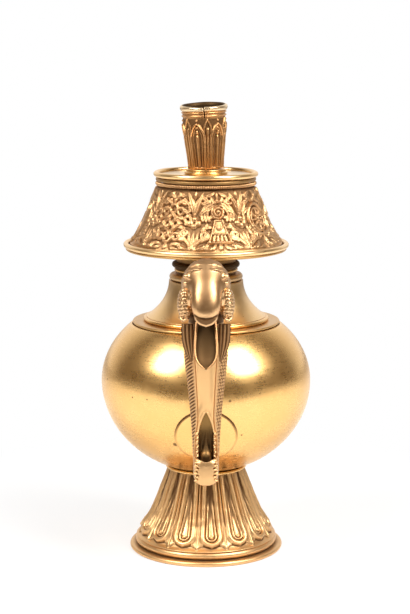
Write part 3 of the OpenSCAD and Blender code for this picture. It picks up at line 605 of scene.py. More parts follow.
def foot_relief(line, columns, spread):
    """Hanging lotus petals with a broad rounded border and an inner tongue, and leaves between them.

    The lower edge spreads outward to meet the lip of the foot.
    """
    angle = angles(columns)
    pitch = TAU / FOOT_PETALS
    off = (angle - FOOT_TURN + pitch / 2) % pitch - pitch / 2
    steps = np.hypot(*np.diff(line, axis=0).T)
    s = np.concatenate([[0], np.cumsum(steps)])[:, None]
    half = pitch / 2 * line[:, :1]
    u = np.abs(off) * line[:, :1]
    wide = half * 0.84
    tip, bow = 2.9, 5.4
    low = np.minimum(s - tip - bow, 0)
    inside = wide - np.sqrt(u ** 2 + low ** 2 * (wide / bow) ** 2)
    inside = inside + 0.45 * np.clip(1 - u / 1.4, 0, 1) * smoothstep(4.6, 3, s)
    border = bulge(inside - 1.3, 1.25, 1.3)
    second = bulge(inside - 3.4, 0.45, 0.8) * smoothstep(28, 16, s)
    tongue = 0.75 * smoothstep(4.0, 4.9, inside) * smoothstep(20, 9, s)
    bead = bulge(np.hypot(u, s - 7.6), 0.9, 1.35)
    petal = np.maximum.reduce([border, second, tongue, bead])
    gap = half - u
    edge = np.interp(s, [2, 5, 13, 30], [3.6, 3.2, 1.3, 0.6])
    low_edge = np.interp(gap, [0, 1.4, 3.4], [1.0, 2.9, 3.6])
    leaf = 0.7 * smoothstep(-0.1, 0.6, np.minimum(edge - gap, s - low_edge))
    leaf = leaf + bulge(gap, 0.35, 0.6) * (leaf > 0.5)
    relief = np.maximum(petal, leaf)
    streak = 0.5 + 0.5 * waves(angle * 9, s * 0.15, 43, 12)
    soil_and_shade = smoothstep(0.4, 0.0, relief) * (0.4 + 0.5 * smoothstep(7, 22, s)) * smoothstep(1.5, 5, s)
    soil_and_shade = np.clip(soil_and_shade * (0.6 + 0.7 * streak) + 0.4 * streak * smoothstep(22, 36, s), 0, 1)
    relief = relief + 0.7 * smoothstep(15, 4, s) * smoothstep(-0.6, 0.5, inside)
    relief = relief * (0.6 + 0.4 * smoothstep(39, 28, s))
    ends = smoothstep(0, 3, s) * smoothstep(s.max(), s.max() - 2, s)
    out = spread * np.clip(1 - s / 4.5, 0, 1) ** 2
    return relief * ends + 0.12 * waves(angle, s * 0.25, 41, 9) - 0.7 * ends + out, soil_and_shade


TUBE_PETALS = 6
TUBE_TURN = math.radians(-21)


def tube_relief(line, columns):
    """Upright lotus petals under two fillets, with beads below each point and a seam at the front."""
    angle = angles(columns)
    pitch = TAU / TUBE_PETALS
    off = (angle - TUBE_TURN + pitch / 2) % pitch - pitch / 2
    v = np.linspace(0, TUBE_H, len(line))[:, None]
    u = np.abs(off) * line[:, :1]
    half = pitch / 2 * line[:, :1]
    tip, leaf_tip, bands_z = 22.0, 24.4, 25.0
    width = half * 0.8 * np.clip((tip - v) / 6.0, 0, 1) ** 0.5
    inside = width - u
    border = bulge(inside - 0.6, 0.75, 1.0) * (v < tip + 0.3)
    inner = bulge(inside - 1.9, 0.35, 0.5) * (v < tip - 1.5)
    rib = bulge(u, 0.8, 0.9) * smoothstep(17.4, 15.0, v)
    drop = bulge(np.hypot(u, (v - 17.9) * 0.7), 0.8, 1.0)
    bead = np.maximum(bulge(np.hypot(u, v - 19.9), 0.55, 0.8), drop)
    gap = half - u
    pointed = half * 0.4 * np.clip((leaf_tip - v) / 4.0, 0, 1) ** 0.8 - gap
    outer = bulge(pointed - 0.4, 0.45, 0.75) * (inside < 0.1)
    core = bulge(gap, 0.75, 0.7) * smoothstep(20.5, 19, v)
    top_bead = bulge(np.hypot(u, v - 23.5), 0.65, 0.7)
    bands = np.maximum(bulge(v - 27.2, 0.4, 0.6), bulge(v - 25.6, 0.45, 0.55)) + 0 * u
    foot = bulge(v - 0.5, 0.6, 0.5) + 0 * u
    relief = np.maximum.reduce([border, inner, rib, bead, outer, core, top_bead, bands, foot])
    front = (angle + math.pi) % TAU - math.pi
    seam = bulge(front * TUBE_TOP_R - 0.2, 0.35, 0.8) * smoothstep(leaf_tip, bands_z + 0.2, v)
    soil_and_shade = 0.85 * smoothstep(0.5, 0.05, relief) * smoothstep(bands_z, bands_z - 1, v) + 0.7 * (seam > 0.1)
    return relief - seam + 0.08 * waves(angle, v * 0.4, 51, 7) - 0.45, np.clip(soil_and_shade, 0, 1)


# Sculpted pieces, as distance fields over x, the distance in front of the axis, and the height

def round_gap(offsets, radii):
    """Distance to an ellipse or ellipsoid, from the offsets to its middle."""
    k0 = np.sqrt(sum((p / r) ** 2 for p, r in zip(offsets, radii)))
    k1 = np.sqrt(sum((p / r ** 2) ** 2 for p, r in zip(offsets, radii)))
    return k0 * (k0 - 1) / np.maximum(k1, 1e-6)


def blob(x, d, z, centre, radii):
    return round_gap((x - centre[0], d - centre[1], z - centre[2]), radii)


def pillow(x, d, z, centre, radii, power, tilt=0.0):
    """A swollen block, fuller than an ellipsoid, that may lean in the plane of d and z."""
    ahead, up = d - centre[1], z - centre[2]
    n = ahead * math.cos(tilt) + up * math.sin(tilt)
    w = up * math.cos(tilt) - ahead * math.sin(tilt)
    q = sum(np.abs(p / r) ** power for p, r in zip((x - centre[0], n, w), radii))
    return (q ** (1 / power) - 1) * min(radii)


def rod(x, d, z, points, radii):
    """A rope through points, with a radius at each."""
    best = np.full(np.broadcast(x, d, z).shape, 1e9, np.float32)
    for a, b, ra, rb in zip(points, points[1:], radii, radii[1:]):
        ab = np.subtract(b, a)
        px, pd, pz = x - a[0], d - a[1], z - a[2]
        t = np.clip((px * ab[0] + pd * ab[1] + pz * ab[2]) / np.dot(ab, ab), 0, 1)
        gap = np.sqrt((px - t * ab[0]) ** 2 + (pd - t * ab[1]) ** 2 + (pz - t * ab[2]) ** 2)
        best = np.minimum(best, gap - (ra + (rb - ra) * t))
    return best


def join(a, b, soft):
    h = np.clip(0.5 + 0.5 * (b - a) / soft, 0, 1)
    return b + (a - b) * h - soft * h * (1 - h)


def carve(a, b, soft):
    return -join(-a, b, soft)


def surface_nets(values, low, step):
    """Points and quads of the zero level of a sampled distance field."""
    inside = values < 0
    shape = np.array(values.shape) - 1
    corners = [(i, j, k) for i in (0, 1) for j in (0, 1) for k in (0, 1)]
    count = np.zeros(shape, np.int8)
    for i, j, k in corners:
        count += inside[i:shape[0] + i, j:shape[1] + j, k:shape[2] + k]
    cells = np.argwhere((count > 0) & (count < 8))
    at = np.array([values[tuple((cells + c).T)] for c in corners], float)
    total = np.zeros((len(cells), 3))
    hits = np.zeros(len(cells))
    for m in range(8):
        for n in range(m + 1, 8):
            way = np.subtract(corners[n], corners[m])
            if np.abs(way).sum() != 1:
                continue
            cross = (at[m] < 0) != (at[n] < 0)
            t = at[m] / np.where(cross, at[m] - at[n], 1)
            total += np.where(cross[:, None], np.array(corners[m]) + t[:, None] * way, 0)
            hits += cross
    points = np.array(low) + step * (cells + total / hits[:, None])
    index = np.full(shape, -1)
    index[tuple(cells.T)] = np.arange(len(cells))
    quads = []
    for axis in range(3):
        one, two = np.eye(3, dtype=int)[[k for k in range(3) if k != axis]]
        here = inside.take(np.arange(shape[axis]), axis)
        there = inside.take(np.arange(1, shape[axis] + 1), axis)
        spots = np.argwhere(here != there)
        keep = np.all((spots - one - two >= 0) & (spots < shape), axis=1)
        spots = spots[keep]
        ring_of = [spots - one - two, spots - two, spots, spots - one]
        quads.append(np.stack([index[tuple(s.T)] for s in ring_of], axis=1))
    return points, [np.concatenate(quads)]


def sculpt(field, low, high, step, rounds=2):
    """A mesh of a distance field, with the front turned to -Y."""
    axes = [np.arange(a, b, step, dtype=np.float32) for a, b in zip(low, high)]
    x, d, z = np.meshgrid(*axes, indexing="ij")
    points, faces = surface_nets(field(x, d, z), low, step)
    points = relaxed(points, faces, rounds)
    return points * np.array([1, -1, 1]), faces


# Shape of the spout's shaft

def shaft_w(z):
    t = np.clip((z - SPOUT_LOW_Z) / (SPOUT_WIDE_Z - SPOUT_LOW_Z), 0, 1)
    s = smoothstep(SPOUT_WIDE_Z, SPOUT_TOP_Z, z)
    below = SHAFT_LOW_W + (SHAFT_WIDE_W - SHAFT_LOW_W) * t ** 1.6
    return np.where(z < SPOUT_WIDE_Z, below, SHAFT_WIDE_W + (SHAFT_TOP_W - SHAFT_WIDE_W) * s)


def shaft_half(z):
    return SHAFT_LOW_H + (SHAFT_TOP_H - SHAFT_LOW_H) * smoothstep(SPOUT_LOW_Z, SPOUT_WIDE_Z, z)


def shaft_d(z):
    return SPOUT_BACK_D + shaft_half(z) + SPOUT_LEAN * smoothstep(SPOUT_Z + ROOT_R / 2, SPOUT_TOP_Z, z)


def shaft_shell(x, d, z):
    """Distance to the outer face of the shaft."""
    return round_gap((x, d - shaft_d(z)), (shaft_w(z), shaft_half(z)))


def beads(u, v, size):
    """Rows of round beads set off against each other, as a height between 0 and 1."""
    row = np.floor(v / size)
    a = ((u / size + 0.5 * (row % 2)) % 1 - 0.5) * 2
    b = (v / size - row - 0.5) * 2
    return np.sqrt(np.clip(1 - a * a - b * b, 0, 1))


def bowl_radius(z):
    h = np.where(z < BOWL_MID_Z, BOWL_LOW_H, BOWL_UP_H)
    return BOWL_R * np.sqrt(np.clip(1 - ((z - BOWL_MID_Z) / h) ** 2, 0, 1))


ROOT_D = float(bowl_radius(SPOUT_Z + SPOUT_RISE))


def strip_share(z):
    """Share of the half width that the front strip takes at a height."""
    end_z = SPOUT_Z - (SPOUT_BACK_D - ROOT_D) * math.tan(ROOT_DROP)
    return STRIP_SHARE + (JAW_SHARE - STRIP_SHARE) * smoothstep(ARCH_Z, end_z, z)


def shaft_sheet():
    """The scaled sheet round the back and sides of the shaft."""
    rows, columns, back = 440, 300, 40
    z = np.linspace(SPOUT_LOW_Z, SPOUT_TOP_Z, rows)[:, None]
    start = np.arcsin(strip_share(z))
    t = np.linspace(0, 1, columns)[None, :]
    a = start - math.pi / 2 + (TAU - 2 * start) * t
    w, h = shaft_w(z), shaft_half(z)
    girth = (a - math.pi / 2) * (w + h) / 2
    hatch = 0.5 + 0.5 * np.cos(TAU * (z - 0.55 * girth) / 1.5)
    knobs = beads(girth, z, 1.6)
    right = smoothstep(0.45, 0.55, np.cos(a) * 0.5 + 0.5)
    ends = smoothstep(59, 66, z) * smoothstep(124.5, 122, z)
    edge = smoothstep(0.0, 0.05, t) * smoothstep(1.0, 0.95, t)
    pattern = knobs * right + hatch * (1 - right)
    push = (0.5 * pattern - 0.3) * edge * ends
    dark = (1 - pattern) * edge * ends
    push = push + bulge(np.minimum(t, 1 - t) - 0.022, 0.02, 0.45)
    b = start - math.pi / 2 + (TAU - 2 * start) * np.linspace(1, 0, back)[None, :]
    points = []
    for turn, grow in ((a, push), (b, -SPOUT_WALL)):
        y = -shaft_d(z) + (h + grow) * np.sin(turn)
        points.append(np.stack([(w + grow) * np.cos(turn), y, z + 0 * turn], axis=-1))
    points = np.concatenate(points, axis=1)
    total = columns + back
    caps = []
    for base in (0, (rows - 1) * total):
        share = np.round(np.linspace(0, back - 1, columns)).astype(int)
        for c in range(columns - 1):
            i, j = base + c, base + c + 1
            k, m = base + total - 1 - share[c + 1], base + total - 1 - share[c]
            caps.append([i, j, k] if k == m else [i, j, k, m])
    tris = np.array([f for f in caps if len(f) == 3])
    quads = np.array([f for f in caps if len(f) == 4])
    soil_and_shade = np.concatenate([dark, np.full((rows, back), 0.6)], axis=1).ravel()
    return (points.reshape(-1, 3), [grid_faces(rows, total), tris, quads]), soil_and_shade


def arch_half(z):
    """Half the width of the open jaws at a height."""
    t = (z - SPOUT_LOW_Z) / (ARCH_Z - SPOUT_LOW_Z)
    t = np.clip((t - 0.55) / 0.45, 0, 1)
    return np.where(z > ARCH_Z, -1.0, ARCH_W * (1 - t * t))


def strip_field(x, d, z):
    """The smooth front strip, with raised edges and rows of teeth round the open jaws."""
    side = np.abs(x)
    edge = shaft_w(z) * strip_share(z) - 0.15
    raised = 0.4 * np.exp(-((side - edge + 0.5) / 0.4) ** 2) * smoothstep(70, 80, z)
    jaw = arch_half(z) + 0.75
    raised = raised + 0.5 * np.exp(-((side - jaw) / 0.45) ** 2) * (z < ARCH_Z + 1)
    raised = raised - 0.16 * np.maximum(0, x - 0.9)
    face = shaft_shell(x, d, z)
    shell = np.maximum(face - raised, -(face + SPOUT_WALL))
    shell = np.maximum(shell, (side - edge) * 0.9)
    shell = np.maximum(shell, shaft_d(z) - d)
    shell = np.maximum(shell, (arch_half(z) - side) * 0.8)
    for k in range(8):
        level = 57.6 + k * 2.2
        out = float(arch_half(level)) + 0.7 + 0.25 * (k % 2)
        front = float(shaft_d(level) + shaft_half(level) * 0.9)
        tooth = blob(side, d, z, (out, front, level), (0.7, 0.9, 0.7 + 0.15 * (k % 3)))
        shell = join(shell, tooth, 0.3)
        pit = blob(side, d, z, (out + 0.6, front + 0.5, level + 1.1), (0.55, 1.0, 0.5))
        shell = carve(shell, pit, 0.2)
    return np.maximum(shell, np.maximum(SPOUT_LOW_Z - z, z - SPOUT_TOP_Z))


def palate_field(x, d, z):
    """The roof of the open jaws, with a ridged tongue lying on it."""
    edge = (PALATE_W + SOLDER_GAP) / (shaft_w(z) - SPOUT_WALL)
    front = shaft_d(z) + (shaft_half(z) - SPOUT_WALL) * np.sqrt(1 - edge ** 2)
    slab = np.maximum(np.abs(x) - PALATE_W, np.maximum(d - front + 2 * SOLDER_GAP, front - 0.7 - d))
    slab = np.maximum(slab, np.maximum(SPOUT_LOW_Z - z, z - PALATE_TOP_Z))
    line = [(0, 67.2, 57.0), (0, 67.9, 62.6), (0, 67.4, 67), (0, 67.0, 74)]
    tongue = rod(x, d, z, line, (2.6, 2.5, 0.9, 0.4))
    fold = rod(np.abs(x), d, z, [(2.4, 66.4, 60), (2.0, 66.8, 68), (0.7, 67.2, 78)], (0.7, 0.6, 0.3))
    return join(join(slab, tongue, 0.5), fold, 0.3)


def jaw_scoop(x, d, z):
    """The hollow of the lower jaw."""
    return blob(x, d, z, (0, 69.9, 62.6), (4.1, 3.9, 7.0))


def jaw_field(x, d, z):
    """The lower jaw: a scoop with a smooth rounded front and rows of teeth along both sides."""
    side = np.abs(x)
    chin = blob(x, d, z, (0, 66.2, 53.0), (5.7, 6.6, 4.0))
    front = pillow(x, d, z, (0, 70.2, 55.9), (5.8, 4.4, 7.1), 2.8)
    field = join(np.maximum(chin, z - SPOUT_LOW_Z + SOLDER_GAP), np.maximum(front, 69.15 - d), 0.3)
    field = carve(field, jaw_scoop(x, d, z), 0.5)
    rim = [(5.1, 69.6, 62.0), (4.8, 71.4, 61.4), (3.6, 73.4, 60.0), (0, 74.2, 58.6)]
    field = join(field, rod(side, d, z, rim, (0.5, 0.5, 0.35, 0.25)), 0.5)
    for k in range(6):
        level = 51.6 + k * 1.75
        out = 4.5 - 0.35 * (k % 2)
        field = join(field, blob(side, d, z, (out + 0.6, 72.6, level), (0.6, 1.0, 0.6)), 0.3)
        field = carve(field, blob(side, d, z, (out - 0.2, 74.0, level + 0.9), (0.8, 1.3, 0.5)), 0.2)
    field = np.maximum(field, z - JAW_TOP_Z)
    return np.maximum(field, SPOUT_BACK_D - d)


def root_field(x, d, z):
    """The root of the spout, a scaled cone between the bowl and the shaft."""
    along = (d - ROOT_D) * math.cos(ROOT_DROP) - (z - SPOUT_Z) * math.sin(ROOT_DROP)
    up = (d - ROOT_D) * math.sin(ROOT_DROP) + (z - SPOUT_Z) * math.cos(ROOT_DROP)
    r = np.hypot(x, up)
    turn = np.arctan2(x, up)
    cone = ROOT_R - 0.5 * (along + ROOT_R) / 26
    field = r - cone - 0.35 * beads(turn * 6, along, 1.6)
    field = np.maximum(field, d - SPOUT_BACK_D - ROOT_SADDLE)
    field = np.maximum(field, -shaft_shell(x, d, z) - 0.4)
    bowl = np.hypot(x, d) - (bowl_radius(z + SPOUT_RISE) + PLAQUE_H + 0.15)
    return np.maximum(field, -bowl)


def mouth_groove(side, d, z):
    """The line between the muzzle and the thin lip below it."""
    line = [(0, 86.2, 129.5), (3.0, 85.7, 129.9), (5.2, 84.2, 131.2)]
    return rod(side, d, z, line, (0.55, 0.5, 0.3))


def lip_edge(side, d, z):
    """The raised edge of the upper lip, which comes to a point over the spoon."""
    line = [(4.9, 83.6, 130.8), (4.2, 84.2, 128.8), (2.6, 84.5, 127.3), (0, 84.7, 126.3)]
    return rod(side, d, z, line, (0.35, 0.45, 0.5, 0.5))


def dragon_field(x, d, z):
    """The dragon head: domed skull, brows, slit eyes and a big smooth muzzle that slopes forward."""
    side = np.abs(x)
    field = blob(x, d, z, (0, 69.8, 142.0), (11.2, 9.0, 12.8))
    field = join(field, blob(x, d, z, (0, 69.9, 127.0), (8.0, 5.9, 10.0)), 3.0)
    muzzle = pillow(x, d, z, (0, 79.9, 137.4), (6.9, 5.6, 10.2), 2.3, math.radians(22))
    field = join(field, muzzle, 4.5)
    field = join(field, blob(side, d, z, (7.6, 77.0, 137.4), (1.7, 2.4, 3.8)), 0.9)
    fold = [(6.6, 78.6, 141.0), (6.9, 80.4, 138.0), (6.8, 82.0, 134.0), (6.2, 83.4, 130.0)]
    field = carve(field, rod(side, d, z, fold, (0.1, 0.3, 0.4, 0.35)), 0.6)
    brow = [(2.2, 77.0, 151.0), (4.8, 76.0, 150.6), (7.6, 74.5, 149.4), (9.8, 72.0, 147.2),
            (11.0, 70.0, 144.6)]
    field = join(field, rod(side, d, z, brow, (0.1, 0.45, 0.6, 0.55, 0.3)), 0.7)
    over = [(1.6, 74.6, 153.0), (4.4, 73.7, 152.7), (7.2, 72.4, 151.2), (9.6, 70.4, 148.4)]
    field = join(field, rod(side, d, z, over, (0.05, 0.25, 0.3, 0.2)), 0.5)
    field = join(field, blob(side, d, z, (7.9, 74.3, 147.2), (2.7, 1.3, 1.2)), 0.5)
    field = join(field, blob(side, d, z, (8.2, 74.3, 144.2), (2.4, 1.3, 1.0)), 0.5)
    slit = [(5.8, 77.2, 146.2), (8.0, 76.0, 145.6), (10.2, 73.6, 145.2)]
    field = carve(field, rod(side, d, z, slit, (0.25, 0.5, 0.35)), 0.35)
    hair = np.sin(np.arctan2(side, z - 136) * 30 + (d - 70) * 0.3)
    field = field - 0.05 * hair * smoothstep(76.5, 75, d) * smoothstep(150, 152, z)
    wisps = np.sin(np.arctan2(side, z - 136) * 22)
    field = field - 0.12 * wisps * smoothstep(73, 71, d) * smoothstep(136, 139, z)
    bore = rod(x, d, z, [(0, 69.75, 120.0), (0, 69.75, 134.0), (0, 82.5, 125.0)], (3.2, 3.3, 3.2))
    field = carve(field, bore, 0.4)
    flap = blob(x, d, z, (0, 83.0, 130.6), (5.0, 2.9, 4.5))
    field = join(field, np.maximum(np.abs(flap) - 0.35, 83.0 - d), 0.3)
    field = carve(field, mouth_groove(side, d, z), 0.3)
    field = join(field, lip_edge(side, d, z), 0.2)
    return np.maximum(field, HEAD_Z - z)


def curls(x, d, z):
    """Beaded curls round a cheek tuft, as a height between 0 and 1."""
    turn = np.arctan2(d - 74.4, np.abs(x) - 6.4) * 4.6
    return beads(turn + 0.25 * z + 0.5 * np.sin(z * 1.3), z + 0.4 * np.sin(turn * 1.1), 1.7)


def tuft_field(x, d, z):
    """A tuft of beaded curls behind the cheek."""
    field = blob(x, d, z, (9.5, 74.4, 134.6), (3.3, 4.3, 7.4))
    field = field - 0.36 * curls(x, d, z)
    curl = [(8.6, 78.2, 128.4), (10.4, 77.6, 127.4), (11.8, 75.8, 128.8), (11.4, 76.6, 131.0)]
    field = join(field, rod(x, d, z, curl, (0.5, 0.7, 0.7, 0.4)), 0.3)
    return np.maximum(field, HEAD_Z + 0.05 - z)


def fin_shape(side):
    """A flat fin that hangs from the tuft before the shaft, with ribs that run to its point."""
    rows, columns = 90, 96
    t = np.linspace(0, 1, rows)[:, None]
    a = angles(columns)[None, :]
    s = 1 - 0.9 * t ** 3
    front = np.clip(-np.sin(a), 0, 1)
    across = np.cos(a) + 0.25 * t ** 2
    rib = np.abs(np.cos(across * 1.6 * math.pi)) * smoothstep(-0.95, -0.6, across)
    push = 0.9 * rib * front * (1 - 0.6 * t)
    x = FIN_X - 1.9 * t ** 3 + FIN_HALF_W * s * np.cos(a)
    y = -FIN_D + FIN_HALF_H * s * np.sin(a) - push
    z = HEAD_Z - SOLDER_GAP - FIN_LONG * t + 0 * a
    points = np.stack([side * x, y, z], axis=-1).reshape(-1, 3)
    ends = [points[:columns].mean(axis=0), points[-columns:].mean(axis=0)]
    # Painted shade: the fin is dark everywhere but on the fronts of its ribs, deepest in the gaps between
    # them.
    soil_and_shade = np.append(np.clip(1.05 - 0.75 * rib * front, 0, 1), [0.5, 0.5])
    return capped(points, columns, ends), soil_and_shade


LIP_ROWS = 72
LIP_HALF = 33


def pouring_lip_shape():
    """The spoon-shaped lower jaw, hollow toward the front, with a raised rim and a pointed end."""
    t = np.linspace(0, 1, LIP_ROWS)[:, None]
    w = SPOON_W * np.where(t < 0.5, 0.85 + 0.3 * t, 1 - 0.92 * np.clip(2 * t - 1, 0, 1) ** 3.6)
    bowl = w * 0.7
    wall = np.minimum(0.9, w * 0.4)
    a = math.pi * np.linspace(1, 2, LIP_HALF)[None, :]
    rim = 0.2 * np.exp(-((np.abs(np.cos(a)) - 1) / 0.06) ** 2)
    across = [(w + rim) * np.cos(a), (w - wall - 0.3 * rim) * np.cos(a)]
    deep = [bowl * np.sin(a) + 1.4 * rim, (bowl - wall) * np.sin(a) + 1.2 * rim]
    x, n = [np.concatenate([face, back[:, ::-1]], axis=1) for face, back in (across, deep)]
    along = SPOON_LONG * t
    y = -SPOON_D - along * math.cos(SPOON_DROP) - n * math.sin(SPOON_DROP)
    z = SPOON_Z - along * math.sin(SPOON_DROP) + n * math.cos(SPOON_DROP)
    points = np.stack([x, y, z], axis=-1).reshape(-1, 3)
    columns = 2 * LIP_HALF
    c = np.arange(LIP_HALF - 1)
    low = np.stack([c, c + 1, columns - 2 - c, columns - 1 - c], axis=1)
    return points, [grid_faces(LIP_ROWS, columns), low, low + (LIP_ROWS - 1) * columns]


def plaque_shape():
    """The round escutcheon that lies on the bowl behind the root of the spout."""
    middle = SPOUT_Z + SPOUT_RISE
    tilt = math.atan2((BOWL_MID_Z - middle) * BOWL_R ** 2, ROOT_D * BOWL_LOW_H ** 2)
    columns = 160
    a = angles(columns)[None, :]
    rounding = 0.5
    turn = np.linspace(0.2, math.pi / 2, 6)
    face = np.linspace(PLAQUE_BORE_R, PLAQUE_R - rounding, 24)
    edge = PLAQUE_R - rounding + rounding * np.sin(turn)
    high = np.concatenate([np.full(24, PLAQUE_H), PLAQUE_H - rounding + rounding * np.cos(turn)])
    r = np.concatenate([face, edge, [PLAQUE_R], face[::-4]])[:, None]
    lift = np.concatenate([high, np.full(1 + len(face[::-4]), SOLDER_GAP)])[:, None]
    px = r * np.cos(a)
    up = r * np.sin(a)
    z = middle + up * math.cos(tilt)
    level = bowl_radius(z)
    depth = np.sqrt(np.maximum(level ** 2 - px ** 2, 1))
    slope = (z - BOWL_MID_Z) / BOWL_LOW_H ** 2
    normal = np.stack(np.broadcast_arrays(px / BOWL_R ** 2, -depth / BOWL_R ** 2, slope), axis=-1)
    normal = normal / np.linalg.norm(normal, axis=-1)[..., None]
    points = np.stack([px, -depth, z + 0 * px], axis=-1) + normal * lift[..., None]
    seam = np.interp(np.arange(len(r)), [21, 22.4, 24], [0, 1.0, 1.0])[:, None]
    soil_and_shade = seam * (0.25 + 0.75 * np.clip(np.sin(a) * 1.6 + 0.25, 0, 1))
    return (points.reshape(-1, 3), [grid_faces(len(r), columns, True)]), soil_and_shade.ravel()


# Materials

class Graph:
    """A material's nodes, added one by one with their inputs."""

    def __init__(self, tree):
        self.tree = tree
        self.tree.nodes.clear()

    def add(self, kind, inputs, **options):
        node = self.tree.nodes.new(kind)
        for key, value in options.items():
            setattr(node, key, value)
        for key, value in inputs.items():
            if isinstance(value, bpy.types.NodeSocket):
                self.tree.links.new(value, node.inputs[key])
            else:
                node.inputs[key].default_value = value
        return node

    def math(self, operation, a, b, clamp=False):
        return self.add("ShaderNodeMath", {0: a, 1: b}, operation=operation, use_clamp=clamp).outputs[0]

    def ranged(self, value, low, high, to_low, to_high):
        ends = {"Value": value, "From Min": low, "From Max": high, "To Min": to_low, "To Max": to_high}
        return self.add("ShaderNodeMapRange", ends).outputs["Result"]

    def mix(self, share, a, b):
        return self.add("ShaderNodeMix", {0: share, 6: a, 7: b}, data_type="RGBA").outputs[2]

    def noise(self, place, scale, detail, rough=0.55):
        ends = {"Vector": place, "Scale": scale, "Detail": detail, "Roughness": rough}
        return self.add("ShaderNodeTexNoise", ends).outputs["Fac"]


def gilt(name, gold, copper, dark, rough, recess, ridge, specks, marks=()):
    """Fire-gilt copper: gold that is worn to copper in places, with dark dirt in its recesses and pits, and
    the same dark also painted as shade wherever a piece's attribute asks for it.
    """
    material = bpy.data.materials.new(name)
    material.use_nodes = True
    g = Graph(material.node_tree)
    place = g.add("ShaderNodeTexCoord", {}).outputs["Object"]
    cavity = g.add("ShaderNodeAttribute", {}, attribute_name="cavity").outputs["Fac"]
    broad = g.noise(place, 28.0, 3.0)
    stain = g.noise(place, 95.0, 6.0, 0.65)
    grain = g.noise(place, 900.0, 5.0, 0.6)
    streak_place = g.add("ShaderNodeMapping", {"Vector": place, "Scale": (60.0, 60.0, 2600.0)}).outputs[0]
    streak = g.noise(streak_place, 1.0, 3.0)
    pits = g.add("ShaderNodeTexVoronoi", {"Vector": place, "Scale": 75.0}).outputs["Distance"]
    low = g.ranged(cavity, recess[0], recess[1], 1.0, 0.0)
    # Each piece's own darkening: real soil mixed with painted shade under and inside other parts.
    marked = g.add("ShaderNodeAttribute", {}, attribute_name="soil_and_shade").outputs["Fac"]
    dirt = g.math("MULTIPLY", low, g.ranged(stain, 0.25, 0.7, 0.75, 1.15), True)
    pit = g.ranged(pits, 0.05, 0.09, 1.0, 0.0)
    pit = g.math("MULTIPLY", pit, g.ranged(broad, 0.45, 0.62, 0.0, specks), True)
    spots = g.ranged(stain, 0.62, 0.76, 0.0, 0.6)
    spots = g.math("MULTIPLY", spots, g.ranged(broad, 0.4, 0.65, 0.2, 1.0), True)
    soil_and_shade = g.math("MAXIMUM", g.math("MAXIMUM", dirt, pit, True), marked, True)
    for x, y, z, r in marks:
        away = g.add("ShaderNodeVectorMath", {0: place, 1: (x * MM, y * MM, z * MM)}, operation="DISTANCE")
        near = g.math("ADD", away.outputs["Value"], g.ranged(stain, 0.3, 0.7, -0.4 * r * MM, 0.4 * r * MM))
        soil_and_shade = g.math("MAXIMUM", soil_and_shade, g.ranged(near, 0.5 * r * MM, 1.1 * r * MM, 0.85, 0.0), True)
    worn = g.ranged(cavity, ridge[0], ridge[1], 0.0, 0.5)
    tone = g.mix(g.ranged(broad, 0.35, 0.7, 0.0, 0.7), gold, copper)
    tone = g.mix(g.ranged(stain, 0.52, 0.72, 0.0, 0.3), tone, copper)
    tone = g.mix(g.math("MULTIPLY", spots, specks, True), tone, dark)
    bright = [min(1.0, c * 1.12 + 0.03) for c in gold[:3]] + [1.0]
    tone = g.mix(worn, tone, bright)
    colour = g.mix(soil_and_shade, tone, dark)
    metallic = g.ranged(soil_and_shade, 0.0, 1.0, 1.0, 0.85)
    base_rough = g.ranged(grain, 0.3, 0.7, rough - 0.015, rough + 0.025)
    streaked = g.math("ADD", base_rough, g.ranged(streak, 0.35, 0.7, -0.015, 0.03))
    stained = g.math("ADD", streaked, g.ranged(stain, 0.4, 0.75, 0.0, 0.06))
    roughness = g.math("ADD", stained, g.math("MULTIPLY", soil_and_shade, 0.25), True)
    dent = g.math("ADD", g.math("MULTIPLY", grain, 0.35), g.math("MULTIPLY", stain, 0.8))
    bump = g.add("ShaderNodeBump", {"Height": dent, "Strength": 0.05, "Distance": 0.0006}).outputs["Normal"]
    ends = {"Base Color": colour, "Metallic": metallic, "Roughness": roughness, "Normal": bump}
    shader = g.add("ShaderNodeBsdfPrincipled", ends)
    g.add("ShaderNodeOutputMaterial", {"Surface": shader.outputs[0]})
    return material


GOLD = (0.84, 0.53, 0.205, 1.0)
GOLD_DEEP = (0.79, 0.46, 0.16, 1.0)
BRIGHT_GOLD = (0.84, 0.57, 0.28, 1.0)
CHASED_GOLD = (0.62, 0.38, 0.18, 1.0)
FOOT_GOLD = (0.76, 0.47, 0.21, 1.0)
HEAD_GOLD = (0.76, 0.50, 0.26, 1.0)
TUBE_GOLD = (0.60, 0.32, 0.12, 1.0)
PALE_GOLD = (0.78, 0.61, 0.39, 1.0)
COPPER = (0.56, 0.29, 0.12, 1.0)
BROWN = (0.11, 0.05, 0.016, 1.0)
PATINA = (0.26, 0.15, 0.05, 1.0)
DARK_COPPER = (0.30, 0.16, 0.06, 1.0)
# Darkest colour: soot-dark patina on the spoon, and painted shade on the upper neck ring and inside the
# mouth lip; the palate's throat is darkened with it too.
SOOT_AND_SHADE = (0.075, 0.04, 0.013, 1.0)

# Dark marks on the bowl, each with its place and radius
BOWL_MARKS = ((-14.6, -42.6, 62.8, 1.3), (16.9, -44.9, 68.0, 0.6), (11.3, -50.8, 85.9, 0.7),
              (-28.0, -43.8, 85.0, 0.5), (-35.1, -38.3, 84.8, 0.4), (-27.3, -25.3, 53.6, 0.5),
              (34.2, -22.5, 57.4, 0.5), (14.0, -36.7, 55.6, 0.5), (-48.1, -19.3, 89.7, 0.5))

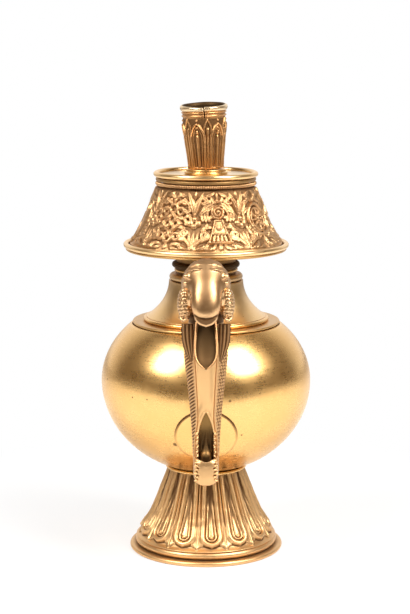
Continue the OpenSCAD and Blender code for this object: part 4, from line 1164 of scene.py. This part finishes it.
body_gilt = gilt("gilt_body", GOLD, GOLD_DEEP, BROWN, 0.26, (-0.2, -0.07), (0.06, 0.2), 0.1, BOWL_MARKS)
bright_gilt = gilt("gilt_bright", BRIGHT_GOLD, GOLD, BROWN, 0.28, (-0.15, -0.05), (0.05, 0.2), 0.12)
chased_gilt = gilt("gilt_chased", CHASED_GOLD, COPPER, BROWN, 0.37, (-0.24, -0.01), (0.06, 0.3), 0.4)
foot_gilt = gilt("gilt_foot", FOOT_GOLD, CHASED_GOLD, BROWN, 0.38, (-0.3, -0.04), (0.06, 0.3), 0.4)
head_gilt = gilt("gilt_head", HEAD_GOLD, COPPER, BROWN, 0.3, (-0.24, -0.02), (0.06, 0.3), 0.4)
tube_gilt = gilt("gilt_tube", TUBE_GOLD, COPPER, BROWN, 0.34, (-0.24, -0.01), (0.06, 0.3), 0.4)
spoon_gilt = gilt("gilt_spoon", COPPER, PATINA, SOOT_AND_SHADE, 0.4, (-0.24, -0.01), (0.06, 0.3), 0.4)
pale_gilt = gilt("gilt_pale", PALE_GOLD, BRIGHT_GOLD, SOOT_AND_SHADE, 0.27, (-0.09, -0.02), (0.02, 0.1), 0.3)
# Dark gilt for the palate, and for the upper neck ring under the skirt, which it paints all dark as shade.
dark_gilt = gilt("dark_patina", PATINA, DARK_COPPER, SOOT_AND_SHADE, 0.42, (-0.1, -0.01), (0.03, 0.12), 0.6)


# Foot

def build_foot():
    high = span("base_plate")[1]
    seam = reach("foot_lip")
    edge = bullnose("base_plate", BASE_STEP_R, 18)
    ends = [(0, 0, 0), (0, 0, BASE_STEP_Z)]
    points = turned(np.concatenate([edge, [[BASE_STEP_R, BASE_STEP_Z]]]), 192)
    x, y, z = np.concatenate([points, ends]).T
    # Painted shadow on the top of the base plate, just round the foot lip.
    soil_and_shade = 0.75 * smoothstep(seam + 1.0, seam - 0.4, np.hypot(x, y)) * (z > high - 0.1)
    piece("base_plate", capped(points, 192, ends), foot_gilt, soil_and_shade=soil_and_shade)
    low, high = span("foot_lip")
    lip = wavy_ring(bullnose("foot_lip", FOOT_BORE_R, 18), 240, 11, 0.1, 0.2)
    # Painted shade: the foot lip is darker towards its lower edge.
    soil_and_shade = 0.6 * smoothstep(0.45, 0.15, (lip[0][:, 2] - low) / (high - low))
    piece("foot_lip", lip, foot_gilt, soil_and_shade=soil_and_shade)
    low, high = span("lotus_foot")
    line = flare((FOOT_LOW_R, low), (FOOT_TOP_R, high), (0.29, 0.18), (0.33, 0.5), 120)
    columns = 720
    relief, soil_and_shade = foot_relief(line, columns, seam - FOOT_LOW_R - 0.3)
    foot = sheet(line, FOOT_WALL, columns, relief)
    piece("lotus_foot", foot, foot_gilt, 14, sheet_soil_and_shade(foot, soil_and_shade, 0.6))
    wire = round_wire("foot_wire")
    piece("foot_wire", wavy_ring(wire, 192, 13, 0.1, 0.1), body_gilt)


# Bowl and neck

def bowl_line(turn, wall):
    """The line of the bowl by turns from its bottom upward, inset by a wall."""
    h = np.where(turn < math.pi / 2, BOWL_LOW_H, BOWL_UP_H) - wall
    return np.stack([(BOWL_R - wall) * np.sin(turn), BOWL_MID_Z - h * np.cos(turn)], axis=1)


def build_bowl():
    top = span("body_bowl")[1]
    last = math.pi / 2 + math.asin((top - BOWL_MID_Z) / BOWL_UP_H)
    turn = np.linspace(0.0, last, 150)[1:]
    columns = 288
    angle = angles(columns)
    t = turn[:, None]
    hand = 0.22 * waves(angle, t * 2, 61, 5) + 0.035 * waves(angle, t * 6, 62, 16)
    out = np.stack([np.sin(turn), -np.cos(turn)], axis=1)
    face = bowl_line(turn, 0.0)[:, None, :] + (hand * np.sin(t))[..., None] * out[:, None, :]
    inside = np.linspace(last - 0.012, 0.0, 40)[:-1]
    points = turned(backed(face, bowl_line(inside, BOWL_WALL)), columns)
    bottom = BOWL_MID_Z - BOWL_LOW_H
    ends = [(0, 0, bottom), (0, 0, bottom + BOWL_WALL)]
    piece("body_bowl", capped(points, columns, ends), body_gilt)


def build_neck():
    # The last number darkens each ring; on the neck rings and the skirt plate, which sit under the skirt, it
    # is painted shade.
    rings = (
        ("shoulder_flange", BORE_R, "gilt_body", body_gilt, 0.3),
        ("shoulder_step", BORE_R, "gilt_body", body_gilt, 0.0),
        ("neck_ring", SLEEVE_R, "gilt_bright", bright_gilt, 0.5),
        ("neck_wire", SLEEVE_R, "gilt_body", body_gilt, 0.2),
        ("neck_upper_ring", SLEEVE_R, "dark_patina", dark_gilt, 1.0),
        ("skirt_plate", SLEEVE_R, "gilt_body", body_gilt, 0.4),
    )
    for seed, (node, bore, slot, material, soil_and_shade) in enumerate(rings, 70):
        piece(node, wavy_ring(bullnose(node, bore), 192, seed, 0.08, 0.12), material, soil_and_shade=soil_and_shade)
    low, high = span("bell_neck")
    rows, columns = 60, 240
    line = flare((reach("bell_neck"), low), (BELL_TOP_R, high), (0.62, 0.25), (0.03, 0.4), rows)
    hand = 0.1 * waves(angles(columns), np.linspace(0, 2, rows)[:, None], 81, 6)
    bell = sheet(line, BELL_WALL, columns, hand)
    # Painted shade: the bell is darker towards its top, under the skirt.
    soil_and_shade = 0.5 * smoothstep(high - 15, high - 2, bell[0][:, 2])
    piece("bell_neck", bell, bright_gilt, soil_and_shade=soil_and_shade)
    low, high = span("neck_tube")
    plate = span("skirt_plate")[1]
    socket = plate + (NECK_TUBE_R - SOCKET_OUT_R)
    line = [(NECK_BORE_R, low), (NECK_TUBE_R, low), (NECK_TUBE_R, plate), (SOCKET_OUT_R, socket),
            (SOCKET_OUT_R, high), (SOCKET_R, high), (SOCKET_R, socket), (NECK_BORE_R, plate)]
    # Painted shade over the whole neck tube, which sits under the skirt cover and dish.
    piece("neck_tube", ring(outline(line, 120)), body_gilt, soil_and_shade=0.8)


# Skirt

BEADS = 176


def build_skirt():
    rim = round_wire("skirt_rim", 24)
    piece("skirt_rim", wavy_ring(rim, 320, 21, 0.16, 0.25), bright_gilt)
    low, high = span("emblem_skirt")
    line = flare((SKIRT_LOW_R, low), (SKIRT_TOP_R, high), (0.35, 0.18), (0.31, 0.54), SKIRT_ROWS)
    relief, soil_and_shade = skirt_relief(line)
    skirt = sheet(line, SKIRT_WALL, SKIRT_COLUMNS, relief)
    # The face keeps its dirt; the back, the skirt's underside, is painted dark as shade.
    piece("emblem_skirt", skirt, chased_gilt, 14, sheet_soil_and_shade(skirt, soil_and_shade, 0.6))
    columns = BEADS * 8
    bead = np.sqrt(1 - (2 * ((angles(columns) * BEADS / TAU) % 1) - 1) ** 2 * 0.96)
    section = round_wire("beaded_wire", 14)
    centre = section.mean(axis=0)
    profile = centre + (section - centre)[:, None, :] * (0.35 + 0.65 * bead)[:, None]
    soil_and_shade = np.tile(0.9 * smoothstep(0.85, 0.4, bead), len(section))
    piece("beaded_wire", ring(profile, columns), chased_gilt, 6, soil_and_shade)
    # Painted shade: the skirt cover is darkened all over, under the dish.
    cover = wavy_ring(bullnose("skirt_cover", SOCKET_OUT_R + SOLDER_GAP), 240, 23, 0.1, 0.15)
    piece("skirt_cover", cover, body_gilt, soil_and_shade=0.7)


# Mouthpiece

def leaning(shape):
    """Moves a piece of the tube from its own upright frame to where the tube stands askew."""
    points, faces = shape
    x, y, z = points.T
    tube_z = span("tube_collar")[1] + SOLDER_GAP + TUBE_LOW_R * math.sin(LEAN)
    across = x * math.cos(LEAN) - z * math.sin(LEAN)
    up = x * math.sin(LEAN) + z * math.cos(LEAN)
    return np.stack([across, y, up + tube_z], axis=1), faces


def lip_shape():
    """The flared lip, whose ends meet in a split at the front."""
    base = TUBE_H + SOLDER_GAP
    bore = TUBE_TOP_R - 1.4 * TUBE_WALL
    share = [(bore, 0), (TUBE_TOP_R, 0), (LIP_R - 0.1, 0.3), (LIP_R, 0.48), (LIP_R, 0.74),
             (LIP_R - 0.25, 0.9), (LIP_R - 0.7, 1.0), (bore + 0.9, 1.0), (bore + 0.3, 0.9), (bore, 0.6)]
    profile = outline([(r, base + LIP_H * up) for r, up in share], 44)
    gap = 0.25 / LIP_R
    angle = np.linspace(gap, TAU - gap, 160)[:, None]
    r = profile[:, 0] + 0.12 * waves(angle, 0, 91) + 0.25 * smoothstep(0.6, 0.0, TAU - angle)
    z = profile[:, 1] + 0.1 * waves(angle, 0, 92) - 0.35 * smoothstep(0.8, 0.0, TAU - angle)
    z = z - 0.65 * np.cos(angle) * (profile[:, 1] - base) / LIP_H
    rows = np.stack([r * np.sin(angle), -r * np.cos(angle), np.maximum(z, base)], axis=-1)
    return capped(rows.reshape(-1, 3), len(profile), rows[[0, -1]].mean(axis=1))


def build_mouthpiece():
    low, high = span("mouth_plug")
    plug = outline([(STEM_R, low), (PLUG_R, low), (PLUG_R, high), (STEM_R, high)], 80)
    piece("mouth_plug", ring(plug, 128), body_gilt, body="mouthpiece")
    bore = PLUG_R + SOLDER_GAP
    dish = wavy_ring(bullnose("drip_dish", bore, 8), 192, 33, 0.05, 0.0)
    piece("drip_dish", dish, pale_gilt, body="mouthpiece")
    rim = wavy_ring(round_wire("dish_rim", 24), 256, 35, 0.1, 0.15)
    piece("dish_rim", rim, bright_gilt, body="mouthpiece")
    low, high = span("tube_collar")
    r = reach("tube_collar")
    mid = (low + high) / 2
    collar = [(bore, low), (r - 0.25, low), (r, low + 0.3), (r, mid - 0.3), (r - 0.3, mid),
              (r - 0.85, mid + 0.05), (r - 0.87, high - 0.3), (r - 1.15, high), (bore, high)]
    piece("tube_collar", ring(outline(collar, 60), 160), body_gilt, body="mouthpiece")
    line = flare((TUBE_LOW_R, 0), (TUBE_TOP_R, TUBE_H), (0.19, 0.3), (0.19, 0.4), 130)
    columns = 432
    relief, soil_and_shade = tube_relief(line, columns)
    tube = leaning(sheet(line, TUBE_WALL, columns, relief))
    # The inner face of the tube is painted all dark as shade inside the bore.
    piece("lotus_tube", tube, tube_gilt, 10, sheet_soil_and_shade(tube, soil_and_shade, 1.0), "mouthpiece")
    lip = lip_shape()
    # Painted shade: the inner face of the lip, down into the bore, is painted dark.
    inside = np.hypot(lip[0][:, 0], lip[0][:, 1]) < TUBE_TOP_R - 0.45
    piece("mouth_lip", leaning(lip), pale_gilt, soil_and_shade=1.0 * inside, body="mouthpiece")


# Spout

def drawn(shape):
    """The place of every point of a sculpted piece: x, the distance in front of the axis, and the height."""
    x, y, z = shape[0].T
    return x, -y, z


def spout_piece(name, shape, material, rounds=10, soil_and_shade=0.0):
    """A piece of the spout, moved from the height at which it is drawn to the one at which it sits."""
    points, faces = shape
    piece(name, (points + np.array([0, 0, SPOUT_RISE]), faces), material, rounds, soil_and_shade)


def build_spout():
    plaque, soil_and_shade = plaque_shape()
    piece("spout_plaque", plaque, body_gilt, soil_and_shade=soil_and_shade)
    root = sculpt(root_field, (-11, 36, 48), (11, 64, 80), 0.4)
    spout_piece("spout_root", root, chased_gilt)
    shaft, soil_and_shade = shaft_sheet()
    spout_piece("spout_shaft", shaft, chased_gilt, 8, soil_and_shade)
    strip = sculpt(strip_field, (-7, 62, 55), (7, 78, 127), 0.3)
    x, d, z = drawn(strip)
    # Painted shade of a fold down the right of the strip; the patch on the left is a stain.
    fold = np.exp(-((x - 2.5) / 0.8) ** 2) * smoothstep(86, 92, z) * smoothstep(112, 104, z)
    stain = np.exp(-((x + 2.8 - 0.3 * (z - 85)) / 0.8) ** 2 - ((z - 85) / 2.6) ** 2)
    spout_piece("spout_front_strip", strip, foot_gilt, 14, 0.22 * fold + 0.35 * stain)
    palate = sculpt(palate_field, (-3.5, 62, 55), (3.5, 72, 89), 0.25)
    x, d, z = drawn(palate)
    throat = 0.85 * smoothstep(63.5, 66, z) * smoothstep(78, 71, z)
    spout_piece("makara_palate", palate, dark_gilt, soil_and_shade=throat)
    jaw = sculpt(jaw_field, (-8, 58, 47), (8, 77, 64), 0.25)
    # Painted shade in the hollow of the lower jaw.
    hollow = 0.9 * smoothstep(0.7, 0.1, jaw_scoop(*drawn(jaw)))
    spout_piece("makara_jaw", jaw, foot_gilt, 14, hollow)
    head = sculpt(dragon_field, (-14, 57, 124), (14, 92, 158), 0.28)
    x, d, z = drawn(head)
    side = np.abs(x)
    dome = 0.3 * smoothstep(145.5, 149.5, z) + 0.25 * smoothstep(74, 71, d)
    streak = 0.4 * np.exp(-(x / 4.2) ** 2) * smoothstep(138.5, 143, z) * smoothstep(151, 147, z)
    # Painted shade under the lower end of the muzzle and in the mouth, and a painted dark line in the groove
    # above the lip.
    mouth = 0.9 * smoothstep(131.4, 129.4, z) * smoothstep(0.0, 0.5, lip_edge(side, d, z))
    line = smoothstep(0.6, 0.0, mouth_groove(side, d, z))
    soil_and_shade = np.maximum.reduce([dome + streak, mouth, line])
    spout_piece("dragon_head", head, head_gilt, 16, soil_and_shade)
    hollow = np.zeros((LIP_ROWS, 2 * LIP_HALF))
    hollow[:, LIP_HALF + 3:-3] = np.linspace(1.0, 0.8, LIP_ROWS)[:, None]
    spout_piece("pouring_lip", pouring_lip_shape(), spoon_gilt, soil_and_shade=hollow.ravel())
    points, faces = sculpt(tuft_field, (5, 66, 124), (15, 81, 144), 0.25, 1)
    soil_and_shade = 0.7 * smoothstep(0.55, 0.1, curls(*drawn((points, faces))))
    for name, side in (("right_cheek_tuft", 1), ("left_cheek_tuft", -1)):
        tuft = points * np.array([side, 1, 1]), faces
        spout_piece(name, tuft, head_gilt, 14, soil_and_shade)
    for name, side in (("left_cheek_fin", -1), ("right_cheek_fin", 1)):
        fin, soil_and_shade = fin_shape(side)
        spout_piece(name, fin, chased_gilt, 8, soil_and_shade)


build_foot()
build_bowl()
build_neck()
build_skirt()
build_mouthpiece()
build_spout()


# Floor, light and camera

def light_path_mix(g, seen, lit):
    """One shader for what the camera sees and another for the light it gives."""
    path = g.add("ShaderNodeLightPath", {})
    return g.add("ShaderNodeMixShader", {0: path.outputs["Is Camera Ray"], 1: lit, 2: seen}).outputs[0]


def build_floor():
    mesh = bpy.data.meshes.new("floor")
    wide, front, back = 2.5, -0.42, 6.0
    corners = [(-wide, front, 0), (wide, front, 0), (wide, back, 0), (-wide, back, 0)]
    mesh.from_pydata(corners, [], [(0, 1, 2, 3)])
    floor = placed("floor", mesh)
    material = bpy.data.materials.new("pale_floor")
    material.use_nodes = True
    g = Graph(material.node_tree)
    paper = g.add("ShaderNodeBsdfDiffuse", {"Color": (0.9, 0.9, 0.9, 1)}).outputs[0]
    glow = g.add("ShaderNodeEmission", {"Color": (1, 1, 1, 1), "Strength": 1.0}).outputs[0]
    place = g.add("ShaderNodeTexCoord", {}).outputs["Object"]
    away = g.add("ShaderNodeVectorMath", {0: place}, operation="LENGTH").outputs["Value"]
    share = g.ranged(away, 0.05, 0.22, 0.6, 1.0)
    seen = g.add("ShaderNodeMixShader", {0: share, 1: paper, 2: glow}).outputs[0]
    g.add("ShaderNodeOutputMaterial", {"Surface": light_path_mix(g, seen, paper)})
    mesh.materials.append(material)


def build_world():
    world = bpy.data.worlds.new("studio")
    bpy.context.scene.world = world
    world.use_nodes = True
    g = Graph(world.node_tree)
    way = g.add("ShaderNodeTexCoord", {}).outputs["Generated"]
    parts = g.add("ShaderNodeSeparateXYZ", {0: way})
    back = g.ranged(parts.outputs["Y"], 0.35, 0.75, 0.0, 1.0)
    tone = g.mix(back, (0.15, 0.105, 0.062, 1), (1.1, 1.08, 1.05, 1))
    lit = g.add("ShaderNodeBackground", {"Color": tone, "Strength": 1.0}).outputs[0]
    seen = g.add("ShaderNodeBackground", {"Color": (1, 1, 1, 1), "Strength": 1.0}).outputs[0]
    g.add("ShaderNodeOutputWorld", {"Surface": light_path_mix(g, seen, lit)})


def softbox(name, azimuth, elevation, distance, width, height, power):
    """A rectangular lamp that faces the vase; azimuth 0 is the camera's side and 90 the right."""
    lamp = bpy.data.lights.new(name, "AREA")
    lamp.shape = "RECTANGLE"
    lamp.size = width
    lamp.size_y = height
    lamp.energy = power
    obj = placed(name, lamp)
    a, e = math.radians(azimuth), math.radians(elevation)
    aim = Vector((0, 0, 0.1))
    place = Vector((math.sin(a) * math.cos(e), -math.cos(a) * math.cos(e), math.sin(e)))
    obj.location = aim + place * distance
    obj.rotation_euler = (-place).to_track_quat("-Z", "Y").to_euler()


CAMERA_AT = (0, -0.857, 0.270)
CAMERA_DROP = 9.798
FOCAL_LENGTH = 102.9
PHOTO_ROWS = 614


def build_camera():
    lens = bpy.data.cameras.new("camera")
    lens.sensor_fit = "VERTICAL"
    lens.sensor_height = 36.0
    lens.lens = FOCAL_LENGTH
    lens.shift_x = -1 / PHOTO_ROWS
    camera = placed("camera", lens)
    camera.location = CAMERA_AT
    camera.rotation_euler = (math.radians(90 - CAMERA_DROP), 0, 0)
    bpy.context.scene.camera = camera


build_floor()
build_world()
softbox("softbox_left", -52, 45, 1.2, 0.5, 0.7, 14)
softbox("softbox_right", 52, 46, 1.2, 0.55, 0.7, 18)
build_camera()
bpy.context.scene.view_settings.view_transform = "Standard"
